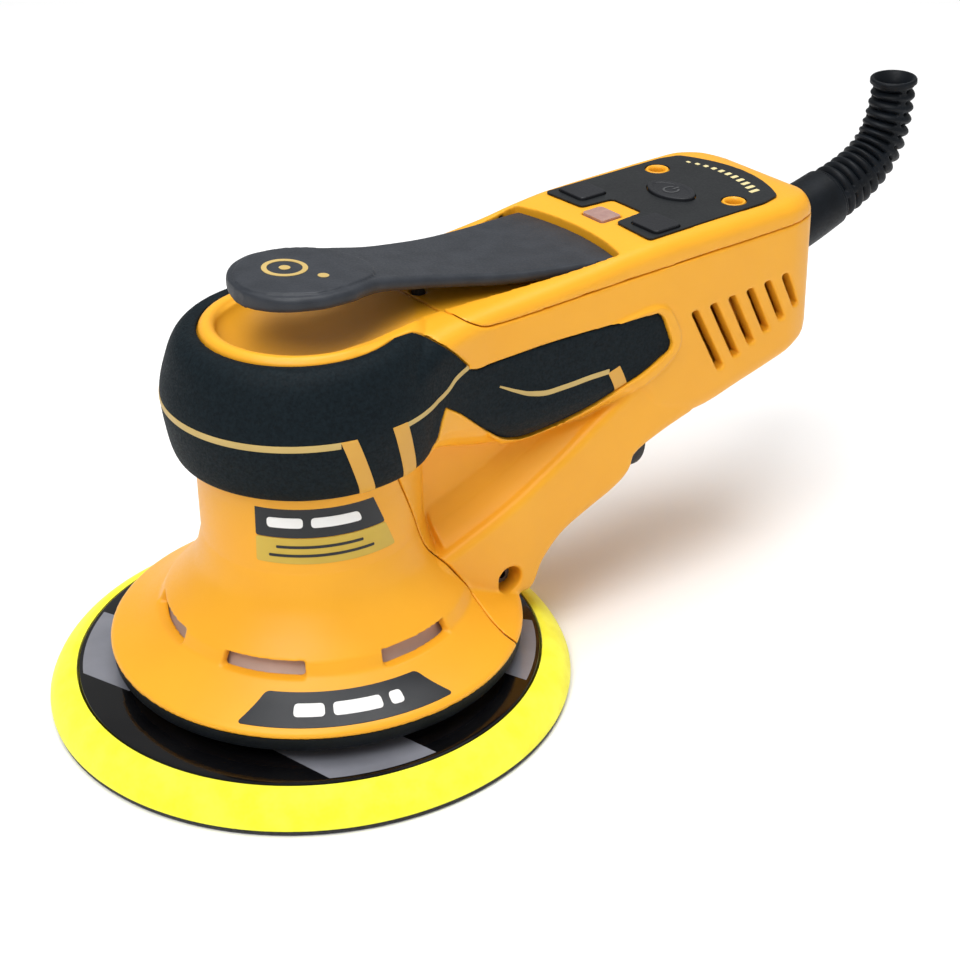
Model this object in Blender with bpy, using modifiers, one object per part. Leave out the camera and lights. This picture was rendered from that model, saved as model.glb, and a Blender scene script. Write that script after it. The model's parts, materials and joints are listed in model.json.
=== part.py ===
"""Electric random-orbit palm polisher: brushless motor head, 150 mm pad with a 5 mm orbit, paddle lever and dust duct.

The origin is on the motor axis at the pad's working face. +Z runs up the motor and +X back along the handle.
Lengths are in millimetres in the tables below; MM turns them into Blender's metres.
"""
import math

import bmesh
import bpy
from mathutils import Matrix, Vector

MM = 0.001
GAP = 0.3

# Pad and orbit
ORBIT_RADIUS = 2.5
PAD_CENTRE = (-2.0, 1.5)
PAD_RADIUS = 74.2
PLATE_RADIUS = 65.8
PLATE_TOP = 10.6
HOOK_THICKNESS = 1.2
DUST_HOLES = 6
DUST_HOLE_RADIUS = 4.5
DUST_CIRCLE = 40.0

# Head: radius and height of the turned outer skin, top to bottom
GRIP_BOTTOM = 75.2
LIP_RADIUS = 26.4
HEAD_OUTER = [(0.0, 111.6), (25.0, 111.6), (29.5, 111.8), (33.2, 109.6), (36.0, 104.0), (38.3, 94.0), (37.3, 84.0),
              (35.4, 77.4), (30.8, GRIP_BOTTOM)]
BELL_OUTER = [(30.9, 74.8), (30.5, 70.0), (30.5, 52.0), (32.7, 44.2), (36.4, 38.6), (42.2, 32.2), (43.9, 28.6),
              (50.4, 24.4), (57.3, 20.8), (58.1, 20.0), (58.1, 18.8)]

# Room for motor, fan and hub: radius and height, top to bottom
MOTOR_ROOM = [(0.0, 101.8), (24.0, 101.8), (32.4, 96.6), (33.4, 92.0), (32.4, 82.0), (28.0, 77.0), (28.0, 51.4),
              (30.3, 43.2), (34.4, 37.2), (39.9, 31.2), (41.6, 27.4), (49.0, 22.3), (56.1, 18.6), (56.1, 10.0), (0.0, 10.0)]
NECK_RADIUS = 30.3
SLOT_CENTRES = (-85.0, -142.0, 161.0, 104.0)
SLOT_HALF = 13.5
GRIP_THICKNESS = 1.6

# Line where the front housing meets the handle housing, seen from the side (x, z), top to bottom
PARTING = [(8.6, 75.2), (12.9, 65.7), (18.2, 53.6), (21.0, 46.2), (26.6, 39.1), (30.8, 32.9), (33.0, 28.6), (32.8, 25.0),
           (33.4, 22.2), (36.0, 18.8), (37.0, 12.0)]

# Handle sections: x, half width, bottom, top, top corner radius, bottom corner radius
HANDLE = [
    (6.0, 35.4, 80.0, 106.0, 9.0, 9.0),
    (14.0, 34.4, 78.0, 108.0, 8.0, 9.0),
    (21.0, 32.0, 76.0, 109.2, 7.0, 10.0),
    (28.0, 29.4, 73.5, 110.0, 6.0, 11.0),
    (36.0, 27.6, 70.0, 110.5, 5.0, 12.0),
    (46.0, 26.7, 66.8, 111.0, 4.5, 13.0),
    (60.0, 26.8, 65.0, 111.9, 4.5, 13.0),
    (78.0, 27.2, 66.5, 113.2, 4.5, 12.0),
    (92.0, 27.6, 69.0, 114.8, 4.5, 10.0),
    (103.0, 28.0, 60.0, 115.5, 4.5, 7.0),
    (117.0, 28.3, 57.4, 115.6, 4.5, 6.0),
    (136.0, 28.5, 61.2, 115.6, 4.5, 6.0),
    (152.0, 28.4, 64.8, 115.5, 4.5, 6.0),
    (160.0, 26.6, 66.8, 114.8, 5.0, 6.0),
    (166.0, 21.5, 68.6, 113.2, 6.0, 7.0),
    (170.0, 14.0, 71.6, 109.8, 7.0, 7.0),
]

# Dust duct sections, on the same plan
DUCT = [
    (11.0, 22.0, 19.0, 36.0, 3.0, 3.0),
    (20.0, 26.0, 19.0, 39.4, 3.0, 3.0),
    (28.0, 27.0, 19.0, 42.2, 3.0, 3.0),
    (44.0, 27.0, 19.0, 47.8, 3.0, 3.0),
    (56.0, 26.8, 19.2, 52.8, 3.0, 3.0),
    (60.5, 26.6, 26.0, 55.0, 3.0, 4.0),
    (69.5, 26.4, 33.0, 59.6, 3.0, 5.0),
    (79.0, 26.4, 37.0, 65.2, 3.0, 5.0),
    (88.0, 26.6, 40.7, 70.4, 3.0, 5.0),
    (92.6, 26.8, 44.2, 73.0, 3.0, 5.0),
    (94.2, 26.9, 48.6, 73.8, 3.0, 5.0),
    (103.0, 27.5, 53.2, 78.6, 3.0, 5.0),
    (116.0, 28.0, 57.2, 83.0, 3.0, 5.0),
]
DUCT_WALL = 2.6

# Web between neck, duct and handle (x, z)
WEB = [(18.0, 46.0), (30.0, 41.0), (52.0, 49.0), (66.0, 55.5), (80.0, 63.0), (94.0, 71.0), (104.0, 76.0),
       (98.0, 84.0), (60.0, 80.0), (36.0, 86.0), (18.0, 90.0)]
WEB_HALF = 15.0

# Joint between handle housing and top cover (x, z), front to back
COVER_SEAM = [(31.0, 120.0), (33.0, 112.6), (37.5, 108.8), (43.0, 107.0), (52.0, 106.8), (84.0, 107.6), (120.0, 108.3),
              (180.0, 108.6)]

# Soft grip outlines seen from the side (x, z)
HEAD_GRIP = [(-50.0, GRIP_BOTTOM), (12.5, GRIP_BOTTOM), (18.0, 78.0), (22.5, 82.5), (26.5, 87.6), (34.6, 98.0),
             (28.7, 104.3), (23.6, 108.6), (18.2, 112.0), (12.0, 114.0), (-50.0, 114.0)]
SIDE_GRIP = [(27.2, 87.4), (36.0, 80.2), (44.0, 73.6), (52.0, 69.0), (60.0, 67.0), (70.0, 69.0), (80.0, 72.0),
             (90.0, 75.8), (98.5, 79.6), (105.0, 83.6), (105.6, 86.0), (102.0, 92.8), (98.8, 94.9), (82.0, 95.6),
             (60.0, 96.2), (38.0, 96.0), (34.9, 97.0)]

# Lever: x, half width, top height
LEVER = [(-17.9, 2.5, 125.2), (-17.0, 7.0, 125.7), (-14.0, 12.4, 126.0), (-9.0, 16.4, 126.1), (-2.0, 18.5, 125.8),
         (5.0, 18.2, 125.3), (11.0, 16.2, 124.6), (18.0, 14.4, 123.3), (28.0, 14.1, 121.0), (40.0, 15.2, 118.6),
         (55.0, 17.7, 115.9), (70.0, 20.0, 114.3), (84.0, 21.9, 113.3), (89.4, 22.6, 112.9)]
LEVER_THICKNESS = (4.2, 3.2)
LEVER_PIVOT = (84.0, 111.7)
LEVER_ARC_RISE = 3.2
LEVER_TRAVEL_DEG = 3.5
POCKET_FLOOR = 109.4
PLUNGER_X = 38.0
SPRING_X = 47.0

# Control panel, in plan (x, y)
PANEL_TOP = 115.6
LABEL_FRONT = 101.6
LABEL_NOTCH = (112.4, 7.4)
LABEL_BACK = (152.0, 158.4)
LABEL_HALF = 23.6
LABEL_THICKNESS = 0.6
SCREW_X = 138.9
SCREW_Y = 16.8
SPEED_BUTTON = (109.3, 16.3)
POWER_BUTTON_X = 129.5
LENS_X = 103.0

# Motor stack heights
STATOR = (58.0, 84.0)
STATOR_RADIUS = 26.4
ROTOR_RADIUS = 13.6
SHAFT_RADIUS = 4.0
HUB = (17.0, 29.0)
FAN_RADIUS = 31.5

# Dust port
PORT_Z = 44.0
PORT_X = (74.0, 112.0)
PORT_OUTER = 12.0
PORT_BORE = 9.6

# Strain relief: centre line (x, z) and outer radii
RELIEF_PATH = [(166.0, 92.0), (174.0, 93.0), (182.0, 94.6), (193.0, 97.6), (203.5, 100.9), (211.0, 104.6),
               (216.0, 109.0), (219.4, 114.8), (221.2, 121.4), (221.9, 127.2), (221.8, 131.5)]
RELIEF_BORE = 4.3

# Inner fixings
BOARD_POSTS = [(60.0, -13.0, 68.2), (60.0, 13.0, 68.2), (104.0, -13.0, 62.6), (104.0, 13.0, 62.6)]
BOARD_FLOOR = 80.0
SWITCH_SHELF = ((33.6, -24.0, 89.6), (46.0, 24.0, 92.1))
CLAMP_X = 148.0
CLAMP_Y = 8.6
CLAMP_FLOOR = 91.6
SIDE_SCREW = (48.2, 26.2)
SIDE_BOSS = 18.8

SEGMENTS = 36
YELLOW = (0.95, 0.48, 0.07)
BLACK = (0.02, 0.022, 0.026)
STEEL = (0.6, 0.6, 0.62)
COLLECTION = "palm_polisher"


def clear_scene():
    for obj in list(bpy.data.objects):
        bpy.data.objects.remove(obj)


def material(name, colour, roughness=0.5, metallic=0.0):
    mat = bpy.data.materials.get(name) or bpy.data.materials.new(name)
    mat.use_nodes = True
    shader = mat.node_tree.nodes["Principled BSDF"]
    shader.inputs["Base Color"].default_value = (*colour, 1.0)
    shader.inputs["Roughness"].default_value = roughness
    shader.inputs["Metallic"].default_value = metallic
    return mat


def link(obj):
    collection = bpy.data.collections.get(COLLECTION)
    if collection is None:
        collection = bpy.data.collections.new(COLLECTION)
        bpy.context.scene.collection.children.link(collection)
    collection.objects.link(obj)
    return obj


def named(obj, name, mat):
    obj.name = name
    obj.data.name = name
    obj.data.materials.clear()
    obj.data.materials.append(mat)
    obj.data.shade_smooth()
    obj.data.set_sharp_from_angle(angle=math.radians(35))
    return obj


def from_bmesh(bm, name="shape"):
    bmesh.ops.recalc_face_normals(bm, faces=bm.faces)
    mesh = bpy.data.meshes.new(name)
    bm.to_mesh(mesh)
    bm.free()
    return link(bpy.data.objects.new(name, mesh))


def bake(obj):
    """Replaces an object's mesh by its evaluated one and drops its modifiers."""
    bpy.context.view_layer.update()
    evaluated = obj.evaluated_get(bpy.context.evaluated_depsgraph_get())
    mesh = bpy.data.meshes.new_from_object(evaluated)
    obj.modifiers.clear()
    obj.data = mesh
    return obj


def boolean(target, other, operation, keep=False):
    modifier = target.modifiers.new(operation.lower(), "BOOLEAN")
    modifier.operation = operation
    modifier.solver = "EXACT"
    modifier.object = other
    bake(target)
    if not keep:
        bpy.data.objects.remove(other)
    return target


def join(target, other):
    return boolean(target, other, "UNION")


def cut(target, other, keep=False):
    return boolean(target, other, "DIFFERENCE", keep)


def keep_inside(target, other, keep=False):
    return boolean(target, other, "INTERSECT", keep)


def copy_of(obj):
    twin = obj.copy()
    twin.data = obj.data.copy()
    return link(twin)


def turned(profile, closed=False, segments=SEGMENTS, centre=(0.0, 0.0)):
    """Turns a profile of (radius, z) about the vertical through centre, its outer side listed top to bottom."""
    mesh = bpy.data.meshes.new("profile")
    points = [(radius * MM, 0.0, z * MM) for radius, z in profile]
    edges = [(i, i + 1) for i in range(len(points) - 1)]
    if closed:
        edges.append((len(points) - 1, 0))
    mesh.from_pydata(points, edges, [])
    obj = link(bpy.data.objects.new("turned", mesh))
    screw = obj.modifiers.new("screw", "SCREW")
    screw.axis = "Z"
    screw.angle = math.tau
    screw.steps = segments
    screw.render_steps = segments
    screw.use_merge_vertices = True
    screw.merge_threshold = 0.00001
    bake(obj)
    obj.data.transform(Matrix.Translation((centre[0] * MM, centre[1] * MM, 0.0)))
    return obj


def ring(inner, outer, low, high, segments=SEGMENTS, centre=(0.0, 0.0)):
    return turned([(outer, high), (outer, low), (inner, low), (inner, high)], True, segments, centre)


def disc(radius, low, high, segments=SEGMENTS, centre=(0.0, 0.0)):
    return turned([(0.0, high), (radius, high), (radius, low), (0.0, low)], False, segments, centre)


def block(low, high):
    bm = bmesh.new()
    bmesh.ops.create_cube(bm, size=1.0)
    size = [(b - a) * MM for a, b in zip(low, high)]
    middle = [(a + b) * MM / 2 for a, b in zip(low, high)]
    bmesh.ops.transform(bm, matrix=Matrix.Translation(middle) @ Matrix.Diagonal((*size, 1.0)), verts=bm.verts)
    return from_bmesh(bm)


def rod(start, end, radius, segments=24, end_radius=None):
    """A cylinder or cone between two points."""
    a = Vector(start) * MM
    b = Vector(end) * MM
    bm = bmesh.new()
    bmesh.ops.create_cone(bm, cap_ends=True, segments=segments, radius1=radius * MM,
                          radius2=(radius if end_radius is None else end_radius) * MM, depth=(b - a).length)
    turn = (b - a).to_track_quat("Z", "Y").to_matrix().to_4x4()
    bmesh.ops.transform(bm, matrix=Matrix.Translation((a + b) / 2) @ turn, verts=bm.verts)
    return from_bmesh(bm)


def prism_y(outline, low, high):
    """Extrudes an (x, z) outline from y = low to y = high."""
    bm = bmesh.new()
    verts = [bm.verts.new((x * MM, low * MM, z * MM)) for x, z in outline]
    face = bm.faces.new(verts)
    grown = bmesh.ops.extrude_face_region(bm, geom=[face])
    moved = [item for item in grown["geom"] if isinstance(item, bmesh.types.BMVert)]
    bmesh.ops.translate(bm, vec=(0.0, (high - low) * MM, 0.0), verts=moved)
    return from_bmesh(bm)


def prism_z(outline, low, high):
    """Extrudes an (x, y) outline from z = low to z = high."""
    bm = bmesh.new()
    verts = [bm.verts.new((x * MM, y * MM, low * MM)) for x, y in outline]
    face = bm.faces.new(verts)
    grown = bmesh.ops.extrude_face_region(bm, geom=[face])
    moved = [item for item in grown["geom"] if isinstance(item, bmesh.types.BMVert)]
    bmesh.ops.translate(bm, vec=(0.0, 0.0, (high - low) * MM), verts=moved)
    return from_bmesh(bm)


def loft(sections):
    """Skins equal rings of points, given in millimetres, and caps both ends."""
    bm = bmesh.new()
    rings = [[bm.verts.new(Vector(point) * MM) for point in section] for section in sections]
    for first, second in zip(rings, rings[1:]):
        for i in range(len(first)):
            j = (i + 1) % len(first)
            bm.faces.new((first[i], first[j], second[j], second[i]))
    bm.faces.new(list(reversed(rings[0])))
    bm.faces.new(rings[-1])
    return from_bmesh(bm)


def rounded_section(x, half, low, high, top_radius, bottom_radius, steps=2):
    """A rounded rectangle across the handle, as a ring of points at one x."""
    corners = [(half - top_radius, high - top_radius, top_radius, 0.0),
               (-half + top_radius, high - top_radius, top_radius, 90.0),
               (-half + bottom_radius, low + bottom_radius, bottom_radius, 180.0),
               (half - bottom_radius, low + bottom_radius, bottom_radius, 270.0)]
    points = []
    for y, z, radius, start in corners:
        for k in range(steps + 1):
            angle = math.radians(start + 90.0 * k / steps)
            points.append((x, y + radius * math.cos(angle), z + radius * math.sin(angle)))
    return points


def shell_loft(stations, inset=0.0):
    """The loft through a table of sections, with every wall moved in by inset."""
    sections = []
    last = len(stations) - 1
    for i, (x, half, low, high, top_radius, bottom_radius) in enumerate(stations):
        shift = -inset if i == last else inset if i == 0 else 0.0
        sections.append(rounded_section(x + shift, half - inset, low + inset, high - inset,
                                        max(top_radius - inset, 0.8), max(bottom_radius - inset, 0.8)))
    return loft(sections)


def inset_profile(profile, inset):
    """A turned profile moved in by inset, square to its own slope."""
    moved = []
    for i, (radius, z) in enumerate(profile):
        before = profile[max(i - 1, 0)]
        after = profile[min(i + 1, len(profile) - 1)]
        run = Vector((after[0] - before[0], after[1] - before[1])).normalized()
        moved.append((max(radius + run.y * inset, 0.0), z - run.x * inset))
    return moved


def grown_outline(outline, amount):
    """An outline pushed outwards by amount, corner by corner."""
    area = sum(a[0] * b[1] - b[0] * a[1] for a, b in zip(outline, outline[1:] + outline[:1]))
    side = 1.0 if area > 0 else -1.0
    moved = []
    for before, here, after in zip(outline[-1:] + outline[:-1], outline, outline[1:] + outline[:1]):
        first = (Vector(here) - Vector(before)).normalized()
        second = (Vector(after) - Vector(here)).normalized()
        normal = Vector((first.y + second.y, -first.x - second.x)) * side
        moved.append(tuple(Vector(here) + normal.normalized() * amount))
    return moved


def head_solid(inset):
    """The turned head above the neck."""
    profile = inset_profile(HEAD_OUTER, inset)
    profile[0] = (0.0, profile[1][1])
    return turned(profile + [(0.0, profile[-1][1])])


def upper_solid(inset):
    """Head and handle as one body, every wall moved in by inset."""
    return join(head_solid(inset), shell_loft(HANDLE, inset))


def lever_outline(grow=0.0):
    """The lever's plan, with its bowed rear edge, as (x, y) points."""
    near = [(x, -half) for x, half, _ in LEVER]
    arc = []
    half = LEVER[-1][1]
    for k in range(1, 8):
        y = -half + 2 * half * k / 8
        arc.append((LEVER[-1][0] + LEVER_ARC_RISE * (1 - (y / half) ** 2), y))
    far = [(x, half) for x, half, _ in reversed(LEVER)]
    return grown_outline(near + arc + far, grow) if grow else near + arc + far


def dish_cutter():
    """The hollow in the head's top: a bowl that runs out towards the handle."""
    stations = [(-22.2, 2.0, 1.0), (-21.2, 8.0, 4.2), (-18.0, 13.6, 6.4), (-12.0, 18.4, 7.2), (-4.0, 21.2, 7.3),
                (6.0, 21.4, 6.8), (16.0, 20.0, 5.6), (26.0, 18.6, 3.9), (36.0, 17.6, 2.4), (44.0, 17.0, 1.8)]
    sections = []
    for x, half, depth in stations:
        section = [(x, half, 118.0), (x, -half, 118.0)]
        for k in range(9):
            angle = math.pi + math.pi * k / 8
            section.append((x, half * math.cos(angle), 112.0 + depth * math.sin(angle)))
        sections.append(section)
    return loft(sections)


def upright_core(radius, low, high, segments):
    """A cylinder on the motor axis, turned a little so that its edges miss those of the head."""
    core = disc(radius, low, high, segments)
    core.data.transform(Matrix.Rotation(math.radians(3.0), 4, "Z"))
    return core


def grip_pieces():
    """Head grip and the two side grips, cut from one skin; returns them with the pocket they sit in."""
    skin = upper_solid(0.0)
    cut(skin, upper_solid(GRIP_THICKNESS))
    head = keep_inside(copy_of(skin), prism_y(HEAD_GRIP, -60.0, 60.0))
    cut(head, upright_core(LIP_RADIUS, 100.0, 120.0, 40))
    cut(head, upright_core(NECK_RADIUS + GAP, 70.0, 90.0, 32))
    cut(head, prism_y([(-10.0, 108.2), (20.0, 108.2), (20.0, 116.0), (-10.0, 116.0)], -22.0, 22.0))
    sides = []
    for low, high in ((-60.0, -9.0), (9.0, 60.0)):
        sides.append(keep_inside(copy_of(skin), prism_y(grown_outline(SIDE_GRIP, -GAP), low, high)))
    bpy.data.objects.remove(skin)
    return head, sides


def grip_pocket():
    pocket = prism_y(grown_outline(HEAD_GRIP, GAP), -60.0, 60.0)
    cut(pocket, upright_core(NECK_RADIUS, 70.0, 90.0, 32))
    cut(pocket, upright_core(LIP_RADIUS - GAP, 100.0, 130.0, 40))
    for low, high in ((-60.0, -9.0 + GAP), (9.0 - GAP, 60.0)):
        join(pocket, prism_y(SIDE_GRIP, low, high))
    return cut(pocket, upper_solid(GRIP_THICKNESS + GAP))



def bell_solid():
    """The outer form of bell and duct, reaching a little up into the head."""
    solid = turned([(0.0, 80.0), (30.9, 80.0)] + BELL_OUTER + [(0.0, BELL_OUTER[-1][1])])
    return join(solid, shell_loft(DUCT))


def front_housing():
    """Bell-shaped front shell with its air slots."""
    edge = list(PARTING)
    zone = prism_y([(-80.0, BELL_OUTER[0][1])] + edge + [(-80.0, 12.0)], -80.0, 80.0)
    shell = keep_inside(bell_solid(), zone)
    cut(shell, motor_room())
    for centre in SLOT_CENTRES:
        cut(shell, slot_wedge(centre, SLOT_HALF))
    return shell


def slot_wedge(centre, half):
    """A curved slot through the bell's step, from centre - half to centre + half degrees."""
    points = []
    steps = 4
    for radius, order in ((34.0, 1), (50.0, -1)):
        for k in range(steps + 1):
            angle = math.radians(centre + order * half * (2 * k / steps - 1))
            points.append((radius * math.cos(angle), radius * math.sin(angle)))
    return prism_z(points, 28.9, 31.9)


def rear_bell():
    """The rear part of bell and duct, as a solid that reaches up into the head."""
    edge = [(x + GAP, z) for x, z in PARTING]
    return keep_inside(bell_solid(), prism_y([(12.0, 82.0)] + edge + [(130.0, 12.0), (130.0, 82.0)], -80.0, 80.0))


def motor_room():
    """The space inside neck and head, from the skirt up."""
    room = turned(MOTOR_ROOM, segments=30)
    room.data.transform(Matrix.Rotation(math.radians(4.0), 4, "Z"))
    return room


def electronics_room():
    """The space inside the handle, open at the top where the cover closes it."""
    room = shell_loft(HANDLE[2:], 4.4)
    cut(room, block((-10.0, -40.0, 106.6), (95.8, 40.0, 130.0)))
    opening = prism_z([(96.0, -23.0), (162.0, -20.0), (162.0, 20.0), (96.0, 23.0)], 100.0, 112.0)
    return join(room, opening)


def dust_room():
    """The dust channel from the skirt to the port."""
    channel = shell_loft(DUCT[:7], DUCT_WALL)
    cut(channel, block((0.0, -40.0, 10.0), (37.2, 40.0, 80.0)))
    return channel


def cover_zone(clearance):
    """Everything above the cover seam, with the tongue under the lever."""
    edge = [(x, z + clearance) for x, z in COVER_SEAM]
    zone = prism_y([(30.8 + clearance, 140.0)] + edge + [(180.0, 140.0)], -60.0, 60.0)
    tongue = block((35.0 + clearance, -19.0 + clearance, 106.4 + clearance), (95.0, 19.0 - clearance, 112.0))
    return join(zone, tongue)


def vents():
    cutters = []
    for k in range(6):
        top = (113.2 + 7.1 * k, 91.6 + 0.4 * k)
        drop = 21.4 - 1.9 * k
        lean = 11.2 - 1.1 * k
        outline = [top, (top[0] + 2.6, top[1]), (top[0] + lean + 2.6, top[1] - drop), (top[0] + lean, top[1] - drop)]
        for low, high in ((-40.0, -20.0), (20.0, 40.0)):
            cutters.append(prism_y(outline, low, high))
    return cutters


def handle_housing():
    """Head top, handle, web and dust duct in one shell."""
    shell = upper_solid(0.0)
    join(shell, rear_bell())
    join(shell, prism_y(WEB, -WEB_HALF, WEB_HALF))
    join(shell, rod((PORT_X[0] - 8.0, 0.0, PORT_Z), (PORT_X[0] + 22.0, 0.0, PORT_Z), PORT_OUTER + 2.4, 24))
    cut(shell, cover_zone(0.0))
    cut(shell, grip_pocket())
    cut(shell, dish_cutter())
    cut(shell, prism_z(lever_outline(0.8), POCKET_FLOOR, 130.0))
    cut(shell, motor_room())
    cut(shell, electronics_room())
    cut(shell, dust_room())
    cut(shell, prism_y(grown_outline(WEB, -3.6), 3.4 - WEB_HALF, WEB_HALF - 3.4))
    for x, y, floor in BOARD_POSTS:
        join(shell, rod((x, y, floor), (x, y, BOARD_FLOOR - GAP), 2.8, 8))
    join(shell, block(*SWITCH_SHELF))
    for side in (-1.0, 1.0):
        join(shell, rod((SCREW_X, side * SCREW_Y, 63.0), (SCREW_X, side * SCREW_Y, 106.8), 3.4, 10))
        join(shell, rod((CLAMP_X, side * CLAMP_Y, 66.0), (CLAMP_X, side * CLAMP_Y, CLAMP_FLOOR), 2.8, 8))
        cut(shell, rod((SCREW_X, side * SCREW_Y, 100.0), (SCREW_X, side * SCREW_Y, 110.0), 1.5, 8))
        cut(shell, rod((CLAMP_X, side * CLAMP_Y, CLAMP_FLOOR - 7.0), (CLAMP_X, side * CLAMP_Y, 100.0), 1.4, 8))
    cut(shell, rod((PORT_X[0] - 14.0, 0.0, PORT_Z), (PORT_X[0] + 1.0, 0.0, PORT_Z), PORT_BORE, 20))
    cut(shell, rod((PORT_X[0] - GAP, 0.0, PORT_Z), (120.0, 0.0, PORT_Z), PORT_OUTER + GAP, 24))
    cut(shell, rod((154.0, 0.0, 90.5), (182.0, 0.0, 94.0), 11.0, 20))
    cut(shell, rod((PLUNGER_X, 0.0, 100.0), (PLUNGER_X, 0.0, 112.0), 2.1, 16))
    for cutter in vents():
        cut(shell, cutter)
    for side in (-1.0, 1.0):
        x, z = SIDE_SCREW
        join(shell, rod((x, side * 26.0, z), (x, side * SIDE_BOSS, z), 6.0, 12))
        cut(shell, rod((x, side * 40.0, z), (x, side * (SIDE_BOSS + 1.6), z), 3.9, 14))
        cut(shell, rod((x, side * 24.0, z), (x, side * (SIDE_BOSS - 2.0), z), 1.8, 8))
    return shell


def top_cover():
    """Panel cover with its button windows, lever seat and screw holes."""
    cover = keep_inside(shell_loft(HANDLE), cover_zone(GAP))
    cut(cover, prism_z(lever_outline(0.8), POCKET_FLOOR, 130.0))
    hollow = keep_inside(shell_loft(HANDLE, 2.5), block((96.5, -40.0, 100.0), (165.0, 40.0, 112.9)))
    cut(cover, hollow)
    for side in (-1.0, 1.0):
        join(cover, rod((SCREW_X, side * SCREW_Y, 107.2), (SCREW_X, side * SCREW_Y, 113.6), 4.0, 12))
    cut(cover, prism_z(label_outline(), PANEL_TOP - LABEL_THICKNESS + 0.1, 120.0))
    for outline in button_outlines().values():
        cut(cover, prism_z(grown_outline(outline, GAP), 111.0, 120.0))
    cut(cover, prism_z(lens_outline(GAP), 111.0, 120.0))
    for side in (-1.0, 1.0):
        cut(cover, rod((SCREW_X, side * SCREW_Y, 110.4), (SCREW_X, side * SCREW_Y, 120.0), 2.7, 12))
        cut(cover, rod((SCREW_X, side * SCREW_Y, 100.0), (SCREW_X, side * SCREW_Y, 115.0), 1.5, 8))
    cut(cover, rod((PLUNGER_X, 0.0, 100.0), (PLUNGER_X, 0.0, 120.0), 2.1, 16))
    x, z = LEVER_PIVOT
    cut(cover, rod((x, -24.6, z), (x, 24.6, z), 1.0, 16))
    return cover


def label_outline(grow=0.0):
    notch_x, notch_y = LABEL_NOTCH
    corner, back = LABEL_BACK
    arc = []
    for k in range(9):
        y = -21.8 + 43.6 * k / 8
        arc.append((back - (back - corner) * (y / 21.8) ** 2, y))
    points = [(LABEL_FRONT, -notch_y), (LABEL_FRONT - 1.0, -LABEL_HALF), (145.0, -LABEL_HALF)] + arc
    points += [(145.0, LABEL_HALF), (LABEL_FRONT - 1.0, LABEL_HALF), (LABEL_FRONT, notch_y), (notch_x, notch_y - 1.0),
               (notch_x, 1.0 - notch_y)]
    return grown_outline(points, grow) if grow else points


def rounded_plan(x, y, half_x, half_y, radius, steps=2):
    points = []
    for sx, sy, start in ((1, 1, 0.0), (-1, 1, 90.0), (-1, -1, 180.0), (1, -1, 270.0)):
        for k in range(steps + 1):
            angle = math.radians(start + 90.0 * k / steps)
            points.append((x + sx * (half_x - radius) + radius * math.cos(angle),
                           y + sy * (half_y - radius) + radius * math.sin(angle)))
    return points


def button_outlines():
    """Plan outlines of the two speed buttons and the eye-shaped power button."""
    x, y = SPEED_BUTTON
    eye = []
    for k in range(16):
        angle = math.tau * k / 16
        eye.append((POWER_BUTTON_X + 5.6 * math.sin(angle), 8.8 * math.cos(angle) * (1 - 0.12 * math.sin(angle) ** 2)))
    return {"speed_down_button": rounded_plan(x, -y, 4.8, 5.6, 1.4), "speed_up_button": rounded_plan(x, y, 4.8, 5.6, 1.4),
            "power_button": eye}


def lens_outline(grow=0.0):
    return rounded_plan(LENS_X, 0.0, 3.6 + grow, 4.6 + grow, 0.8)


def control_label():
    label = prism_z(label_outline(-GAP), PANEL_TOP - LABEL_THICKNESS + 0.4, PANEL_TOP + 0.4)
    for outline in button_outlines().values():
        cut(label, prism_z(grown_outline(outline, GAP), 110.0, 120.0))
    for side in (-1.0, 1.0):
        cut(label, rod((SCREW_X, side * SCREW_Y, 110.0), (SCREW_X, side * SCREW_Y, 120.0), 3.4, 14))
    return label


def button(outline):
    cap = prism_z(outline, 112.2, PANEL_TOP + 1.2)
    return join(cap, prism_z(grown_outline(outline, 0.9), 111.8, 112.6))


def lever():
    """Paddle lever: a flat blade that bows over the head, bored for its pivot pin."""
    sections = []
    stations = LEVER + [(94.0, 23.1, 112.6)]
    start = stations[0][0]
    for x, half, top in stations:
        share = (x - start) / (stations[-1][0] - start)
        thick = LEVER_THICKNESS[0] + (LEVER_THICKNESS[1] - LEVER_THICKNESS[0]) * share
        edge = min(1.4, half * 0.4)
        section = [(x, half - edge * 0.4, top - 0.3), (x, half, top - 1.1), (x, half - 0.3, top - thick * 0.7),
                   (x, half - edge, top - thick)]
        section += [(x, -y, z) for _, y, z in reversed(section)]
        section += [(x, -half * 0.5, top + 0.1), (x, half * 0.5, top + 0.1)]
        sections.append(section)
    blade = loft(sections)
    keep_inside(blade, prism_z(lever_outline(0.02), 100.0, 130.0))
    x, z = LEVER_PIVOT
    cut(blade, rod((x, -30.0, z), (x, 30.0, z), 1.15, 16))
    return blade


def smooth_path(points, count):
    """Points on a smooth curve through the given (x, z) points, evenly spread."""
    dense = []
    for i in range(len(points) - 1):
        before = Vector(points[max(i - 1, 0)])
        start = Vector(points[i])
        end = Vector(points[i + 1])
        after = Vector(points[min(i + 2, len(points) - 1)])
        for k in range(12):
            t = k / 12
            a = 2 * start
            b = (end - before) * t
            c = (2 * before - 5 * start + 4 * end - after) * t ** 2
            d = (3 * start - before - 3 * end + after) * t ** 3
            dense.append((a + b + c + d) / 2)
    dense.append(Vector(points[-1]))
    lengths = [0.0]
    for a, b in zip(dense, dense[1:]):
        lengths.append(lengths[-1] + (b - a).length)
    spread = []
    for k in range(count):
        want = lengths[-1] * k / (count - 1)
        i = max(j for j, length in enumerate(lengths) if length <= want + 1e-9)
        i = min(i, len(dense) - 2)
        share = (want - lengths[i]) / (lengths[i + 1] - lengths[i])
        spread.append((dense[i].lerp(dense[i + 1], share), want))
    return spread


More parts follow.
